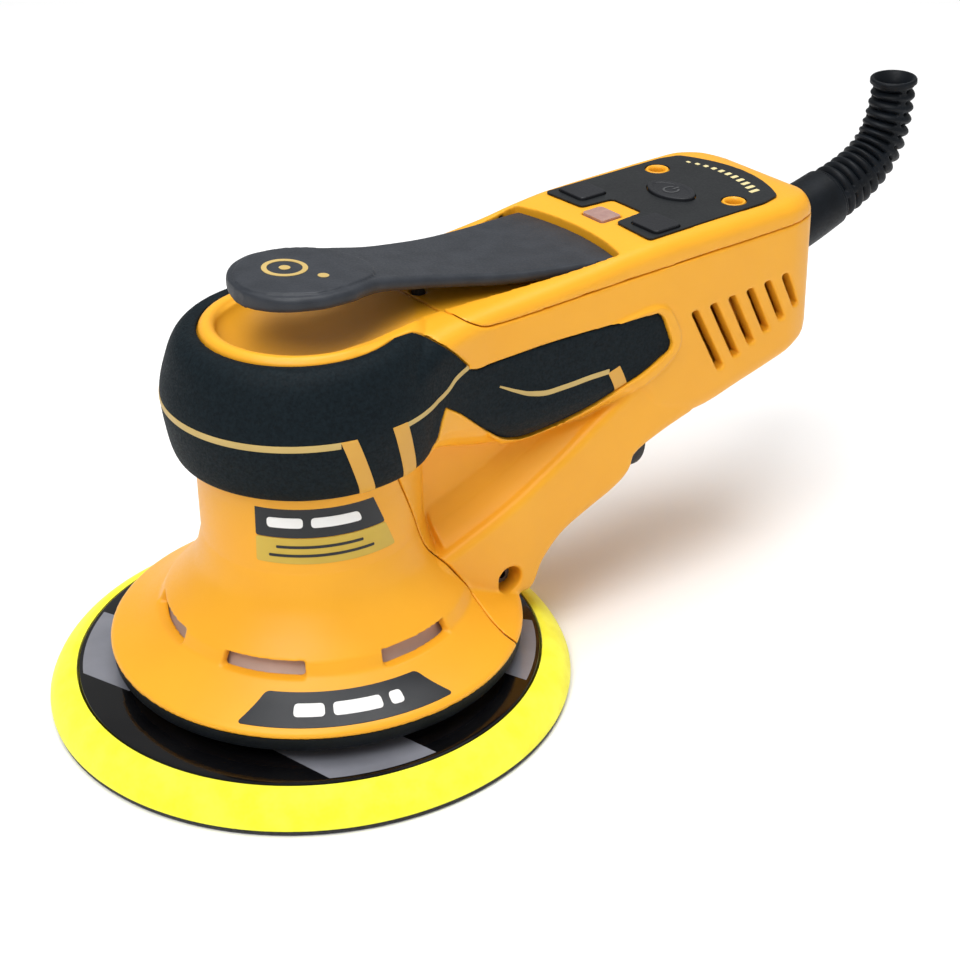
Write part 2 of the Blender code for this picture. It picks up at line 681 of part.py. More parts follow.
def tube_rings(path, radius_at, segments):
    rings = []
    for i, (point, along) in enumerate(path):
        before = path[max(i - 1, 0)][0]
        after = path[min(i + 1, len(path) - 1)][0]
        run = (after - before).normalized()
        radius = radius_at(along)
        section = []
        for k in range(segments):
            angle = math.tau * k / segments
            out = radius * math.cos(angle)
            section.append((point.x - run.y * out, radius * math.sin(angle), point.y + run.x * out))
        rings.append(section)
    return rings


def strain_relief():
    """Bent rubber sleeve with ring ribs and an open bore for the lead."""
    length = smooth_path(RELIEF_PATH, 2)[-1][1]
    smooth_end = 31.0
    ribs = 13

    def outer(along):
        if along < smooth_end:
            return 10.6 - 0.04 * along
        share = (along - smooth_end) / (length - smooth_end)
        base = 9.0 - 2.3 * share
        if share > 0.955:
            return 7.7
        wave = math.cos(math.tau * share * ribs)
        return base - 0.55 * (1 - wave)

    outside = loft(tube_rings(smooth_path(RELIEF_PATH, 42), outer, 10))
    first = Vector(RELIEF_PATH[0]) * 2 - Vector(RELIEF_PATH[1])
    last = Vector(RELIEF_PATH[-1]) * 2 - Vector(RELIEF_PATH[-2])
    bore_path = smooth_path([tuple(first)] + RELIEF_PATH + [tuple(last)], 14)
    return cut(outside, loft(tube_rings(bore_path, lambda along: RELIEF_BORE, 8)))


def dust_port():
    port = ring(PORT_BORE, PORT_OUTER, 0.0, PORT_X[1] - PORT_X[0], 24)
    turn = Matrix.Translation((PORT_X[0] * MM, 0.0, PORT_Z * MM)) @ Matrix.Rotation(math.radians(90.0), 4, "Y")
    port.data.transform(turn)
    return port


def brake_seal():
    """Rubber ring under the skirt that rubs the spinning pad down."""
    return turned([(57.6, 18.5), (57.6, 15.4), (56.4, 14.4), (55.0, 15.4), (54.6, 18.5)], closed=True)


def bearing(inner, outer, low, high, centre=(0.0, 0.0)):
    return ring(inner, outer, low, high, 20, centre)


def stator_core():
    core = ring(22.6, STATOR_RADIUS, *STATOR, segments=30)
    for k in range(6):
        angle = math.radians(60.0 * k)
        tooth = block((14.4, -4.0, STATOR[0]), (24.0, 4.0, STATOR[1]))
        tooth.data.transform(Matrix.Rotation(angle, 4, "Z"))
        join(core, tooth)
    return core


def stator_windings():
    """End coils: one ring of wire above the teeth and one below, tied by the slots between them."""
    coils = ring(15.2, 22.2, STATOR[1] + GAP, STATOR[1] + 4.0, 24)
    join(coils, ring(15.2, 22.2, STATOR[0] - 4.0, STATOR[0] - GAP, 24))
    for k in range(6):
        bar = block((15.6, -2.6, STATOR[0] - 2.0), (21.4, 2.6, STATOR[1] + 2.0))
        bar.data.transform(Matrix.Rotation(math.radians(60.0 * k + 30.0), 4, "Z"))
        join(coils, bar)
    return coils


def motor_shaft():
    shaft = turned([(0.0, 98.0), (2.9, 98.0), (3.0, 97.0), (3.0, 88.0), (SHAFT_RADIUS, 88.0), (SHAFT_RADIUS, 26.5),
                    (0.0, 26.5)], segments=20)
    return shaft


def cooling_fan():
    """Dust and cooling impeller under the motor."""
    fan = turned([(9.0, 38.0), (9.0, 33.4), (FAN_RADIUS, 33.4), (FAN_RADIUS, 32.0), (SHAFT_RADIUS + 0.1, 32.0),
                  (SHAFT_RADIUS + 0.1, 38.0)], closed=True, segments=24)
    for k in range(9):
        blade = block((8.0, -0.7, 33.0), (FAN_RADIUS - 1.0, 0.7, 37.2))
        blade.data.transform(Matrix.Rotation(math.radians(40.0 * k), 4, "Z"))
        join(fan, blade)
    return fan


def fan_shroud():
    """Inner funnel that the air slots look onto, open to the duct at the rear, with two screw lugs."""
    outer = [(35.4, 34.8), (38.8, 31.2), (40.4, 27.4), (45.6, 23.4)]
    inner = [(radius - 1.4, z - 0.4) for radius, z in outer]
    shroud = turned(outer + inner[::-1], closed=True, segments=28)
    x, z = SIDE_SCREW
    cut(shroud, block((30.0, -8.0, 20.0), (60.0, 8.0, 40.0)))
    for side in (-1.0, 1.0):
        low, high = sorted((side * 10.0, side * (SIDE_BOSS - 0.5)))
        lug = block((38.6, low, z - 2.6), (x + 3.4, high, z + 2.6))
        cut(lug, rod((x, side * 30.0, z), (x, 0.0, z), 1.7, 12))
        join(shroud, lug)
    return shroud


def eccentric_hub():
    """Counterweighted hub that carries the pad spindle off the motor axis."""
    hub = disc(19.0, *HUB, segments=24)
    away = math.atan2(-PAD_CENTRE[1], -PAD_CENTRE[0])
    arc = [away + math.radians(15.0 * k - 67.5) for k in range(10)]
    outline = [(27.0 * math.cos(angle), 27.0 * math.sin(angle)) for angle in arc] + [(0.0, 0.0)]
    join(hub, prism_z(outline, HUB[0] + 5.0, HUB[1] - 0.4))
    cut(hub, disc(11.1, HUB[0] - 1.0, 26.2, 20, PAD_CENTRE))
    cut(hub, disc(SHAFT_RADIUS + 0.05, 25.0, HUB[1] + 1.0, 26))
    return hub


def pad_spindle():
    """Stub shaft with a wrench collar, bored from below for the pad's stud."""
    spindle = turned([(0.0, 25.6), (3.9, 25.6), (3.9, 16.8), (6.2, 16.8), (9.0, 15.2), (9.0, PLATE_TOP + 0.3),
                      (0.0, PLATE_TOP + 0.3)], segments=24, centre=PAD_CENTRE)
    return cut(spindle, disc(2.5, 0.0, 19.0, 14, PAD_CENTRE))


def pad_stud():
    """Stud moulded into the pad, screwed up into the spindle."""
    return turned([(0.0, 18.4), (2.2, 18.4), (2.2, 7.3), (6.4, 7.3), (6.4, 5.2), (0.0, 5.2)], segments=18, centre=PAD_CENTRE)


def dust_holes(low, high):
    cutters = []
    for k in range(DUST_HOLES):
        angle = math.tau * k / DUST_HOLES
        x = PAD_CENTRE[0] + DUST_CIRCLE * math.cos(angle)
        y = PAD_CENTRE[1] + DUST_CIRCLE * math.sin(angle)
        cutters.append(rod((x, y, low), (x, y, high), DUST_HOLE_RADIUS, 10))
    return cutters


def drilled(obj, low, high):
    for cutter in dust_holes(low, high):
        cut(obj, cutter)
    return obj


def backing_plate():
    plate = turned([(PLATE_RADIUS - 1.0, PLATE_TOP), (PLATE_RADIUS, PLATE_TOP - 0.8), (PLATE_RADIUS, 7.6), (2.6, 7.6),
                    (2.6, PLATE_TOP)], closed=True, centre=PAD_CENTRE)
    return drilled(plate, 5.0, 14.0)


def pad_foam():
    foam = turned([(PLATE_RADIUS + GAP, 10.2), (68.2, 9.6), (71.2, 7.6), (73.2, 4.8), (PAD_RADIUS, 2.0),
                   (PAD_RADIUS, HOOK_THICKNESS + 0.2), (9.0, HOOK_THICKNESS + 0.2), (9.0, 7.3),
                   (PLATE_RADIUS + GAP, 7.3)], closed=True, centre=PAD_CENTRE)
    return drilled(foam, -2.0, 14.0)


def hook_face():
    face = disc(PAD_RADIUS - 0.4, 0.0, HOOK_THICKNESS, centre=PAD_CENTRE)
    return drilled(face, -2.0, 4.0)


def screw(head_radius, head_height, shank_radius, length, socket_radius):
    """A pan screw standing on z = 0 with its shank below, and a six-sided socket in its head."""
    body = turned([(0.0, head_height), (head_radius * 0.8, head_height), (head_radius, head_height * 0.6),
                   (head_radius, 0.0), (shank_radius, 0.0), (shank_radius, -length), (0.0, -length)], segments=10)
    return cut(body, rod((0.0, 0.0, head_height * 0.45), (0.0, 0.0, head_height + 1.0), socket_radius, 6))


def cover_screw(side):
    one = screw(2.1, 1.6, 1.2, 9.0, 1.0)
    one.data.transform(Matrix.Translation((SCREW_X * MM, side * SCREW_Y * MM, 110.7 * MM)))
    return one


def side_screw(side):
    one = screw(3.2, 2.2, 1.4, 9.0, 1.4)
    one.data.transform(Matrix.Rotation(math.radians(-90.0 * side), 4, "X"))
    seat = (SIDE_SCREW[0] * MM, side * (SIDE_BOSS + 1.9) * MM, SIDE_SCREW[1] * MM)
    one.data.transform(Matrix.Translation(seat))
    return one


def cord_clamp():
    """Saddle that holds the lead down on two posts inside the handle's rear."""
    saddle = block((CLAMP_X - 4.0, -12.0, CLAMP_FLOOR + GAP), (CLAMP_X + 4.0, 12.0, CLAMP_FLOOR + 6.4))
    cut(saddle, rod((CLAMP_X - 6.0, 0.0, CLAMP_FLOOR), (CLAMP_X + 6.0, 0.0, CLAMP_FLOOR), 4.2, 16))
    for side in (-1.0, 1.0):
        y = side * CLAMP_Y
        cut(saddle, rod((CLAMP_X, y, 80.0), (CLAMP_X, y, 110.0), 1.5, 12))
    return saddle


def clamp_screw(side):
    one = screw(2.3, 1.6, 1.1, 12.0, 1.0)
    one.data.transform(Matrix.Translation((CLAMP_X * MM, side * CLAMP_Y * MM, (CLAMP_FLOOR + 6.7) * MM)))
    return one


def heat_sink():
    """Finned block on the power transistors."""
    low = BOARD_FLOOR + 1.9
    sink = block((84.0, -15.0, low), (108.0, 15.0, low + 3.0))
    for k in range(6):
        y = -15.0 + 5.6 * k
        join(sink, block((84.0, y, low + 2.0), (108.0, y + 2.0, low + 14.0)))
    return sink


def lever_spring():
    """Closed coil spring sleeve under the paddle."""
    return ring(1.9, 2.7, POCKET_FLOOR + 0.1, 113.1, 12, (SPRING_X, 0.0))


def circuit_board(low, high, holes=()):
    board = block(low, high)
    for x, y, radius in holes:
        cut(board, rod((x, y, low[2] - 1.0), (x, y, high[2] + 1.0), radius, 12))
    return board


def add_shells():
    yellow = material("housing_yellow", YELLOW, 0.45)
    rubber = material("grip_rubber", BLACK, 0.7)
    dark = material("dark_plastic", (0.045, 0.048, 0.055), 0.5)
    named(front_housing(), "front_housing", yellow)
    named(handle_housing(), "handle_housing", yellow)
    named(top_cover(), "top_cover", yellow)
    head, sides = grip_pieces()
    named(head, "head_grip", rubber)
    named(sides[0], "side_grip_left", rubber)
    named(sides[1], "side_grip_right", rubber)
    named(control_label(), "control_label", dark)
    named(prism_z(lens_outline(), 112.4, PANEL_TOP + 0.2), "indicator_lens", material("lens", (0.75, 0.5, 0.45), 0.2))
    named(fan_shroud(), "fan_shroud", material("shroud_pink", (0.75, 0.62, 0.6), 0.5))
    named(brake_seal(), "brake_seal", rubber)
    named(dust_port(), "dust_port", dark)
    named(strain_relief(), "strain_relief", rubber)


def add_controls():
    dark = material("dark_plastic", (0.045, 0.048, 0.055), 0.5)
    steel = material("steel", STEEL, 0.3, 1.0)
    for name, outline in button_outlines().items():
        named(button(outline), name, dark)
    named(lever(), "lever", dark)
    x, z = LEVER_PIVOT
    named(rod((x, -24.2, z), (x, 24.2, z), 0.9, 16), "lever_pin", steel)
    named(lever_spring(), "lever_spring", steel)
    named(rod((PLUNGER_X, 0.0, 101.6), (PLUNGER_X, 0.0, 114.8), 1.8, 16), "switch_plunger", dark)


def add_electronics():
    green = material("board_green", (0.03, 0.2, 0.08), 0.4)
    dark = material("dark_plastic", (0.045, 0.048, 0.055), 0.5)
    steel = material("steel", STEEL, 0.3, 1.0)
    named(block((33.8, -4.0, SWITCH_SHELF[1][2] + GAP), (45.8, 4.0, 98.4)), "lever_switch", dark)
    named(circuit_board((98.0, -20.0, 107.2), (134.0, 20.0, 108.8)), "button_board", green)
    board = circuit_board((56.0, -19.0, BOARD_FLOOR), (110.0, 19.0, BOARD_FLOOR + 1.6))
    named(board, "motor_controller_board", green)
    named(heat_sink(), "heat_sink", material("aluminium", (0.75, 0.76, 0.78), 0.4, 1.0))
    named(rod((66.0, -8.0, 82.0), (66.0, -8.0, 100.0), 6.5, 18), "bus_capacitor", dark)
    named(rod((66.0, 9.0, 82.0), (66.0, 9.0, 95.0), 4.0, 14), "filter_capacitor", dark)
    named(cord_clamp(), "cord_clamp", dark)
    for side, end in ((-1.0, "left"), (1.0, "right")):
        named(cover_screw(side), "cover_screw_" + end, steel)
        named(side_screw(side), "side_screw_" + end, steel)
        named(clamp_screw(side), "clamp_screw_" + end, steel)


def add_motor():
    steel = material("steel", STEEL, 0.3, 1.0)
    copper = material("copper", (0.72, 0.35, 0.16), 0.35, 1.0)
    alloy = material("aluminium", (0.75, 0.76, 0.78), 0.4, 1.0)
    iron = material("core_iron", (0.25, 0.26, 0.28), 0.5, 0.8)
    named(stator_core(), "stator_core", iron)
    named(stator_windings(), "stator_windings", copper)
    named(ring(11.3, 27.6, 47.6, 50.4, 24), "lower_bearing_plate", alloy)
    named(bearing(SHAFT_RADIUS + 0.06, 11.0, 45.0, 52.0), "lower_bearing", steel)
    named(ring(8.3, 32.4, 90.0, 92.0, 24), "upper_bearing_plate", alloy)
    named(bearing(3.06, 8.0, 89.0, 95.0), "upper_bearing", steel)
    named(ring(SHAFT_RADIUS + 0.1, 10.4, STATOR[0], STATOR[1], 24), "rotor_core", iron)
    named(ring(10.7, ROTOR_RADIUS, STATOR[0] + 1.0, STATOR[1] - 1.0, 24), "rotor_magnets", steel)
    named(motor_shaft(), "motor_shaft", steel)
    named(cooling_fan(), "cooling_fan", material("fan_grey", (0.3, 0.31, 0.33), 0.5))
    named(eccentric_hub(), "eccentric_hub", steel)
    named(bearing(4.0, 11.0, 17.6, 21.2, PAD_CENTRE), "lower_spindle_bearing", steel)
    named(bearing(4.0, 11.0, 21.6, 25.2, PAD_CENTRE), "upper_spindle_bearing", steel)


def add_pad():
    black = material("plate_black", (0.02, 0.02, 0.022), 0.2)
    steel = material("steel", STEEL, 0.3, 1.0)
    named(pad_spindle(), "pad_spindle", steel)
    named(backing_plate(), "backing_plate", black)
    named(pad_foam(), "pad_foam", material("foam_yellow", (0.95, 0.95, 0.1), 0.8))
    named(hook_face(), "hook_face", material("hook_grey", (0.08, 0.08, 0.09), 0.9))
    named(pad_stud(), "pad_stud", steel)


clear_scene()
add_shells()
add_controls()
add_electronics()
add_motor()
add_pad()
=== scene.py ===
"""Looks of the random-orbit palm polisher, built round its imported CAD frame.

The origin is on the motor axis at the pad's working face. +Z runs up the motor and +X back along the handle.
Tables and shape functions are in millimetres; MM turns them into metres.
"""
import json
import math

import bmesh
import bpy
from mathutils import Matrix, Vector


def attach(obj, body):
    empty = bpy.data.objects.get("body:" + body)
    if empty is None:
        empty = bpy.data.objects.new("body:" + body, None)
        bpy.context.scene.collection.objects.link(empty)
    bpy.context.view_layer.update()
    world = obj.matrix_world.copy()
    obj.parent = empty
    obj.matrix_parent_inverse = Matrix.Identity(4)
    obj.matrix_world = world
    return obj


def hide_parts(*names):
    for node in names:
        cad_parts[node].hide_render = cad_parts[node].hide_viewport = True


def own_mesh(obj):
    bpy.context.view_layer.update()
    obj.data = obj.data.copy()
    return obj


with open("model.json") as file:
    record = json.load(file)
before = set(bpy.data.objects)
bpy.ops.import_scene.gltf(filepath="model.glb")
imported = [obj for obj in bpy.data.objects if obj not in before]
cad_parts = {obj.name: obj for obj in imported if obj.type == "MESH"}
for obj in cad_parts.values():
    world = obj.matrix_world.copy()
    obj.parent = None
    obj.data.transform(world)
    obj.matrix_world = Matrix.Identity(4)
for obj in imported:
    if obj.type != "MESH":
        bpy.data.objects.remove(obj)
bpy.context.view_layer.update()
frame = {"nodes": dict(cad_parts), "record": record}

MM = 0.001
GAP = 0.3           # clearance between neighbouring mouldings
ABOVE = 130         # a level higher than the head, where cutters end
SIDES = (-1, 1)

# Pad
PAD_CENTRE = (-2, 1.5)
PAD_RADIUS = 74.2
PLATE_RADIUS = 65.8
PLATE_TOP = 10.6
HOOK_THICKNESS = 1.2
# Grey bands painted on the glossy plate's top as painted reflections of the lamps; outlines in plan (x, y)
PLATE_REFLECTION_BANDS = [
    [(-39.2, 49.7), (-41.1, 54), (-62, 82), (-110, 40), (-61.2, 30.1), (-54.6, 12.5), (-20, 8)],
    [(-37.9, -34.8), (-32.6, -56), (-30, -100), (10, -100), (-4.3, -63.4), (-7.6, -50.6), (-10, -20)],
    [(32.7, -45.7), (35.2, -52), (60, -90), (100, -40), (56.2, -29.6), (52.7, -25.5), (20, -10)],
]
DUST_HOLES = 6
DUST_HOLE_RADIUS = 4.5
DUST_CIRCLE = 40

# Head and bell: radius and height of the turned outer skin, top to bottom
GRIP_BOTTOM = 75.2
LIP_RADIUS = 27.2
LIP_HALF = 23.8
HEAD_OUTER = [(0, 111.6), (25, 111.6), (29.5, 111.8), (33.2, 109.6), (36, 104), (38.3, 94),
              (37.3, 84), (35.4, 77.4), (30.8, GRIP_BOTTOM)]
BELL_OUTER = [(30.9, 74.8), (30.5, 70), (30.5, 52), (32.7, 44.2), (36.4, 38.6), (42.2, 32.2), (43.9, 28.6),
              (50.4, 24.4), (57.3, 20.8), (58.1, 20), (58.1, 18.8)]
BELL_CREASES = (1, 2, 5, 6, 8, 9)
MOTOR_ROOM = [(0, 101.8), (24, 101.8), (32.4, 96.6), (33.4, 92), (32.4, 82), (28, 77), (28, 51.4),
              (30.3, 43.2), (34.4, 37.2), (39.9, 31.2), (41.6, 27.4), (49, 22.3), (56.1, 18.6), (56.1, 10),
              (0, 10)]
NECK_RADIUS = 30.3
SKIRT_RADIUS = 52
# Hollow in the head's top: x, half width, depth
DISH = [(-22.2, 2, 1), (-21.2, 8, 4.2), (-18, 13.6, 6.4), (-12, 18.4, 7.2), (-4, 21.2, 7.3),
        (6, 21.4, 6.8), (16, 20, 5.6), (26, 18.6, 3.9), (36, 17.6, 2.4), (44, 17, 1.8)]
DISH_RIM = 112
SLOT_CENTRES = (-83, -142.6, 165, 104)  # air slots: degrees round the bell
SLOT_HALF = 15.6
SLOT_HEIGHTS = (28.2, 32.4)
GRIP_THICKNESS = 1.6

# Line where the front housing meets the handle housing, seen from the side (x, z)
PARTING = [(8.6, 75.2), (12.9, 65.7), (18.2, 53.6), (21, 46.2), (26.6, 39.1), (30.8, 32.9), (33, 28.6),
           (32.8, 25), (33.4, 22.2), (36, 18.8), (37, 12)]

# Sections across the handle and the dust duct: x, half width, bottom, top, top corner radius, bottom corner radius
HANDLE = [
    (6, 35.4, 80, 106, 9, 9), (14, 34.4, 78, 108, 8, 9), (21, 32, 76, 109.2, 7, 10),
    (28, 29.4, 73.5, 110, 6, 11), (36, 27.6, 70, 110.5, 5, 12), (46, 26.7, 66.8, 111, 4.5, 13),
    (60, 26.8, 65, 111.9, 4.5, 13), (78, 27.2, 66.5, 113.2, 4.5, 12), (92, 27.6, 69, 114.8, 4.5, 10),
    (103, 28, 60, 115.5, 4.5, 7), (117, 28.3, 57.4, 115.6, 4.5, 6), (136, 28.5, 61.2, 115.6, 4.5, 6),
    (152, 28.4, 64.8, 115.5, 4.5, 6), (160, 26.6, 66.8, 114.8, 5, 6), (166, 21.5, 68.6, 113.2, 6, 7),
    (170, 14, 71.6, 109.8, 7, 7),
]
DUCT = [
    (11, 22, 19, 36, 3, 3), (20, 26, 19, 39.4, 3, 3), (28, 27, 19, 42.2, 3, 3),
    (44, 27, 19, 47.8, 3, 3), (56, 26.8, 19.2, 52.8, 3, 3), (60.5, 26.6, 26, 55, 3, 4),
    (69.5, 26.4, 33, 59.6, 3, 5), (79, 26.4, 37, 65.2, 3, 5), (88, 26.6, 40.7, 70.4, 3, 5),
    (92.6, 26.8, 44.2, 73, 3, 5), (94.2, 26.9, 48.6, 73.8, 3, 5), (103, 27.5, 53.2, 78.6, 3, 5),
    (116, 28, 57.2, 83, 3, 5),
]
DUCT_WALL = 2.6
WEB = [(18, 46), (30, 41), (52, 49), (66, 55.5), (80, 63), (94, 71), (104, 76),
       (98, 84), (60, 80), (36, 86), (18, 90)]
WEB_HALF = 15
COVER_SEAM = [(31, 120), (33, 112.6), (37.5, 108.8), (43, 107), (52, 106.8), (84, 107.6), (120, 108.3),
              (180, 108.6)]

# Soft grip outlines seen from the side (x, z)
HEAD_GRIP = [(-50, GRIP_BOTTOM), (12.5, GRIP_BOTTOM), (17.4, 78), (20.8, 81.6), (22, 86.2), (24.6, 90.6),
             (34.6, 98), (28.7, 104.3), (23.6, 108.6), (18.2, 112), (12, 114), (-50, 114)]
SIDE_GRIP = [(24.6, 90.6), (31.5, 85.5), (40.6, 77.2), (50.2, 70), (60, 67), (70, 69), (80, 72),
             (90, 75.8), (98.6, 79.1), (104.9, 82.4), (105.7, 84.4), (102.2, 93.4), (100.2, 95.1), (82, 95.6),
             (60, 96.2), (38, 96), (34.9, 97)]
SIDE_GRIP_INNER = 9
# Raised border round the rear and bottom of the side grips
GRIP_RIM = [(82, 95.5), (92, 96.7), (99.8, 97.6), (104.6, 95.8), (107.4, 90.8), (109.4, 85.6), (108.4, 81.2),
            (102.2, 76.8), (91, 71.4), (80, 67.2), (70, 64.2), (60, 62.8), (50.2, 66.6), (41, 75.2),
            (44, 80), (60, 76), (96, 84), (98, 90)]
RIM_RISE = 1.1

# Lever: x, half width, top height
LEVER = [(-17.9, 2.5, 125.2), (-17, 7, 125.7), (-14, 12.4, 126), (-9, 16.4, 126.1), (-2, 18.5, 125.8),
         (5, 18.2, 125.3), (11, 16.2, 124.6), (18, 14.4, 123.3), (28, 14.1, 121), (40, 15.2, 118.6),
         (55, 17.7, 115.9), (70, 20, 114.3), (84, 21.9, 113.3), (89.4, 22.6, 112.9)]
LEVER_THICKNESS = (4.2, 3.2)
LEVER_PIVOT = (84, 111.7)
LEVER_ARC_RISE = 3.2
PLATEAU_SIDE = [(-17.2, 0), (-16.6, 4.2), (-14.4, 8.4), (-11.4, 11.7), (-8, 14.2), (-4.2, 15.9), (0.6, 16.1),
                (6, 15.4), (12, 13.4), (16, 11.2), (18.6, 8.4), (20.4, 4.3), (21.2, 0)]
PLATEAU_RISE = 0.6
POCKET_FLOOR = 109.4
SPRING_X = 47
PLUNGER_X = 38
PLUNGER_HOLE = 2.1

# Control panel, in plan (x, y)
PANEL_TOP = 115.6
BUTTON_TOP = PANEL_TOP + 0.95
LABEL_FRONT = 101.6
LABEL_NOTCH = (112.4, 7.4)
LABEL_BACK = (152, 158.4)
LABEL_HALF = 23.6
ARC_HALF = 21.8     # half width of the label's bowed rear edge
LABEL_THICKNESS = 0.6
SCREW_X = 138.9
SCREW_Y = 16.8
SPEED_BUTTON = (109.3, 16.3)
POWER_BUTTON_X = 129.5
LENS_X = 103
GAUGE_BARS = 11

# Dust port, strain relief and fixings
PORT_Z = 44
PORT_X = (74, 112)
PORT_OUTER = 12
PORT_BORE = 9.6
RELIEF_PATH = [(166, 92), (174, 93), (182, 94.6), (193, 97.6), (203.5, 100.9), (211, 104.6),
               (216, 109), (219.4, 114.8), (221.2, 121.4), (221.9, 127.2), (221.8, 131.5)]
RELIEF_BORE = 4.3
TIE_ANGLE = 74      # degrees from the inner side of the bend to each long rib
TIE_HALF = 0.9
BOARD_POSTS = [(60, -13, 68.2), (60, 13, 68.2), (104, -13, 62.6), (104, 13, 62.6)]
BOARD_FLOOR = 80
VENTS = 6
VENT_FIRST = (113.2, 91.6, 21.4, 11.2)  # x and z of the top corner, drop, backward lean
VENT_STEP = (7.1, 0.4, -1.9, -1.1)      # what each next vent adds to these
VENT_WIDTH = 2.9
SWITCH_SHELF = ((33.6, -24, 89.6), (46, 24, 92.1))
CLAMP_X = 148
CLAMP_Y = 8.6
CLAMP_FLOOR = 91.6
SIDE_SCREW = (48.2, 26.2)
SIDE_BOSS = 18.8

MARK_LIFT = 0.16    # height of a stripe or label over its moulding
BAR_LIFT = 0.26     # height of the marks on a label over the moulding
FINE = 144          # steps round a turned skin
SHELL_VOXEL = 0.5   # size of the cells that round a shell's edges
SHELL_FACES = 95000


# ------------ mesh tools

def polar(angle, radius, x=0, y=0):
    return x + radius * math.cos(angle), y + radius * math.sin(angle)


def add(mesh):
    obj = bpy.data.objects.new("piece", mesh)
    bpy.context.scene.collection.objects.link(obj)
    return obj


def from_bmesh(bm):
    bmesh.ops.recalc_face_normals(bm, faces=bm.faces)
    mesh = bpy.data.meshes.new("piece")
    bm.to_mesh(mesh)
    bm.free()
    return add(mesh)


def bake(obj):
    bpy.context.view_layer.update()
    evaluated = obj.evaluated_get(bpy.context.evaluated_depsgraph_get())
    mesh = bpy.data.meshes.new_from_object(evaluated)
    obj.modifiers.clear()
    obj.data = mesh
    return obj


def combine(target, other, operation):
    modifier = target.modifiers.new("combine", "BOOLEAN")
    modifier.operation = operation
    modifier.solver = "MANIFOLD"
    modifier.object = other
    bake(target)
    bpy.data.objects.remove(other)
    return target


def join(target, other):
    return combine(target, other, "UNION")


def cut(target, other):
    return combine(target, other, "DIFFERENCE")


def keep_inside(target, other):
    return combine(target, other, "INTERSECT")


def skin(bm, rings, closed=False):
    """Faces between neighbouring rings; a ring may also be one point repeated."""
    for first, second in zip(rings, rings[1:] + (rings[:1] if closed else [])):
        for k in range(len(first)):
            j = (k + 1) % len(first)
            corners = list(dict.fromkeys((first[k], first[j], second[j], second[k])))
            if len(corners) > 2:
                bm.faces.new(corners)


def capped(bm, rings, closed=False):
    skin(bm, rings, closed)
    if not closed:
        bm.faces.new(rings[0][::-1])
        bm.faces.new(rings[-1])
    return from_bmesh(bm)


def smooth_rows(rows, steps, keys=2, creases=()):
    """Rows put in between the given ones, each column on its own monotone curve, with corners kept at creases."""
    along = [0]
    for a, b in zip(rows, rows[1:]):
        along.append(along[-1] + math.dist(a[:keys], b[:keys]))
    last = len(rows) - 1

    def slope(i, column):
        return (rows[i + 1][column] - rows[i][column]) / (along[i + 1] - along[i])

    def tangent(i, column, span):
        if i in (0, last) or i in creases:
            return slope(span, column)
        before, after = slope(i - 1, column), slope(i, column)
        return 2 * before * after / (before + after) if before * after > 0 else 0

    out = []
    for i in range(last):
        length = along[i + 1] - along[i]
        for k in range(steps):
            t = k / steps
            row = []
            for column in range(len(rows[0])):
                a, b = rows[i][column], rows[i + 1][column]
                start, end = tangent(i, column, i) * length, tangent(i + 1, column, i) * length
                row.append((2 * t ** 3 - 3 * t ** 2 + 1) * a + (t ** 3 - 2 * t ** 2 + t) * start
                           + (3 * t ** 2 - 2 * t ** 3) * b + (t ** 3 - t ** 2) * end)
            out.append(tuple(row))
    return out + [tuple(rows[-1])]


def turned(profile, closed=False, segments=FINE, centre=(0, 0), phase=0):
    """Turns a profile of (radius, z) about the vertical through centre."""
    bm = bmesh.new()
    rings = []
    for radius, z in profile:
        if radius < 1e-6:
            rings.append([bm.verts.new((centre[0] * MM, centre[1] * MM, z * MM))] * segments)
            continue
        around = [polar(math.tau * k / segments + phase, radius, *centre) for k in range(segments)]
        rings.append([bm.verts.new((x * MM, y * MM, z * MM)) for x, y in around])
    skin(bm, rings, closed)
    return from_bmesh(bm)


def ring(inner, outer, low, high, segments=FINE, centre=(0, 0)):
    return turned([(outer, high), (outer, low), (inner, low), (inner, high)], True, segments, centre)


def disc(radius, low, high, segments=FINE, centre=(0, 0)):
    return turned([(0, high), (radius, high), (radius, low), (0, low)], False, segments, centre)


def block(low, high):
    bm = bmesh.new()
    bmesh.ops.create_cube(bm, size=1)
    size = [(b - a) * MM for a, b in zip(low, high)]
    middle = [(a + b) * MM / 2 for a, b in zip(low, high)]
    bmesh.ops.transform(bm, matrix=Matrix.Translation(middle) @ Matrix.Diagonal((*size, 1)), verts=bm.verts)
    return from_bmesh(bm)


def rod(start, end, radius, segments=48, end_radius=None):
    a = Vector(start) * MM
    b = Vector(end) * MM
    bm = bmesh.new()
    bmesh.ops.create_cone(bm, cap_ends=True, segments=segments, radius1=radius * MM,
                          radius2=(radius if end_radius is None else end_radius) * MM, depth=(b - a).length)
    turn = (b - a).to_track_quat("Z", "Y").to_matrix().to_4x4()
    bmesh.ops.transform(bm, matrix=Matrix.Translation((a + b) / 2) @ turn, verts=bm.verts)
    return from_bmesh(bm)


def post(x, y, low, high, radius, end_radius=None):
    return rod((x, y, low), (x, y, high), radius, end_radius=end_radius)


def slab(outline, reach=60):
    """A side outline of (x, z) points carried right through the part."""
    return prism(outline, -reach, reach, "y")


def prism(outline, low, high, axis):
    """Extrudes an outline along y, from (x, z) points, or along z, from (x, y) points."""
    bm = bmesh.new()
    ends = []
    for level in (low, high):
        if axis == "y":
            ends.append([bm.verts.new((x * MM, level * MM, z * MM)) for x, z in outline])
        else:
            ends.append([bm.verts.new((x * MM, y * MM, level * MM)) for x, y in outline])
    return capped(bm, ends)


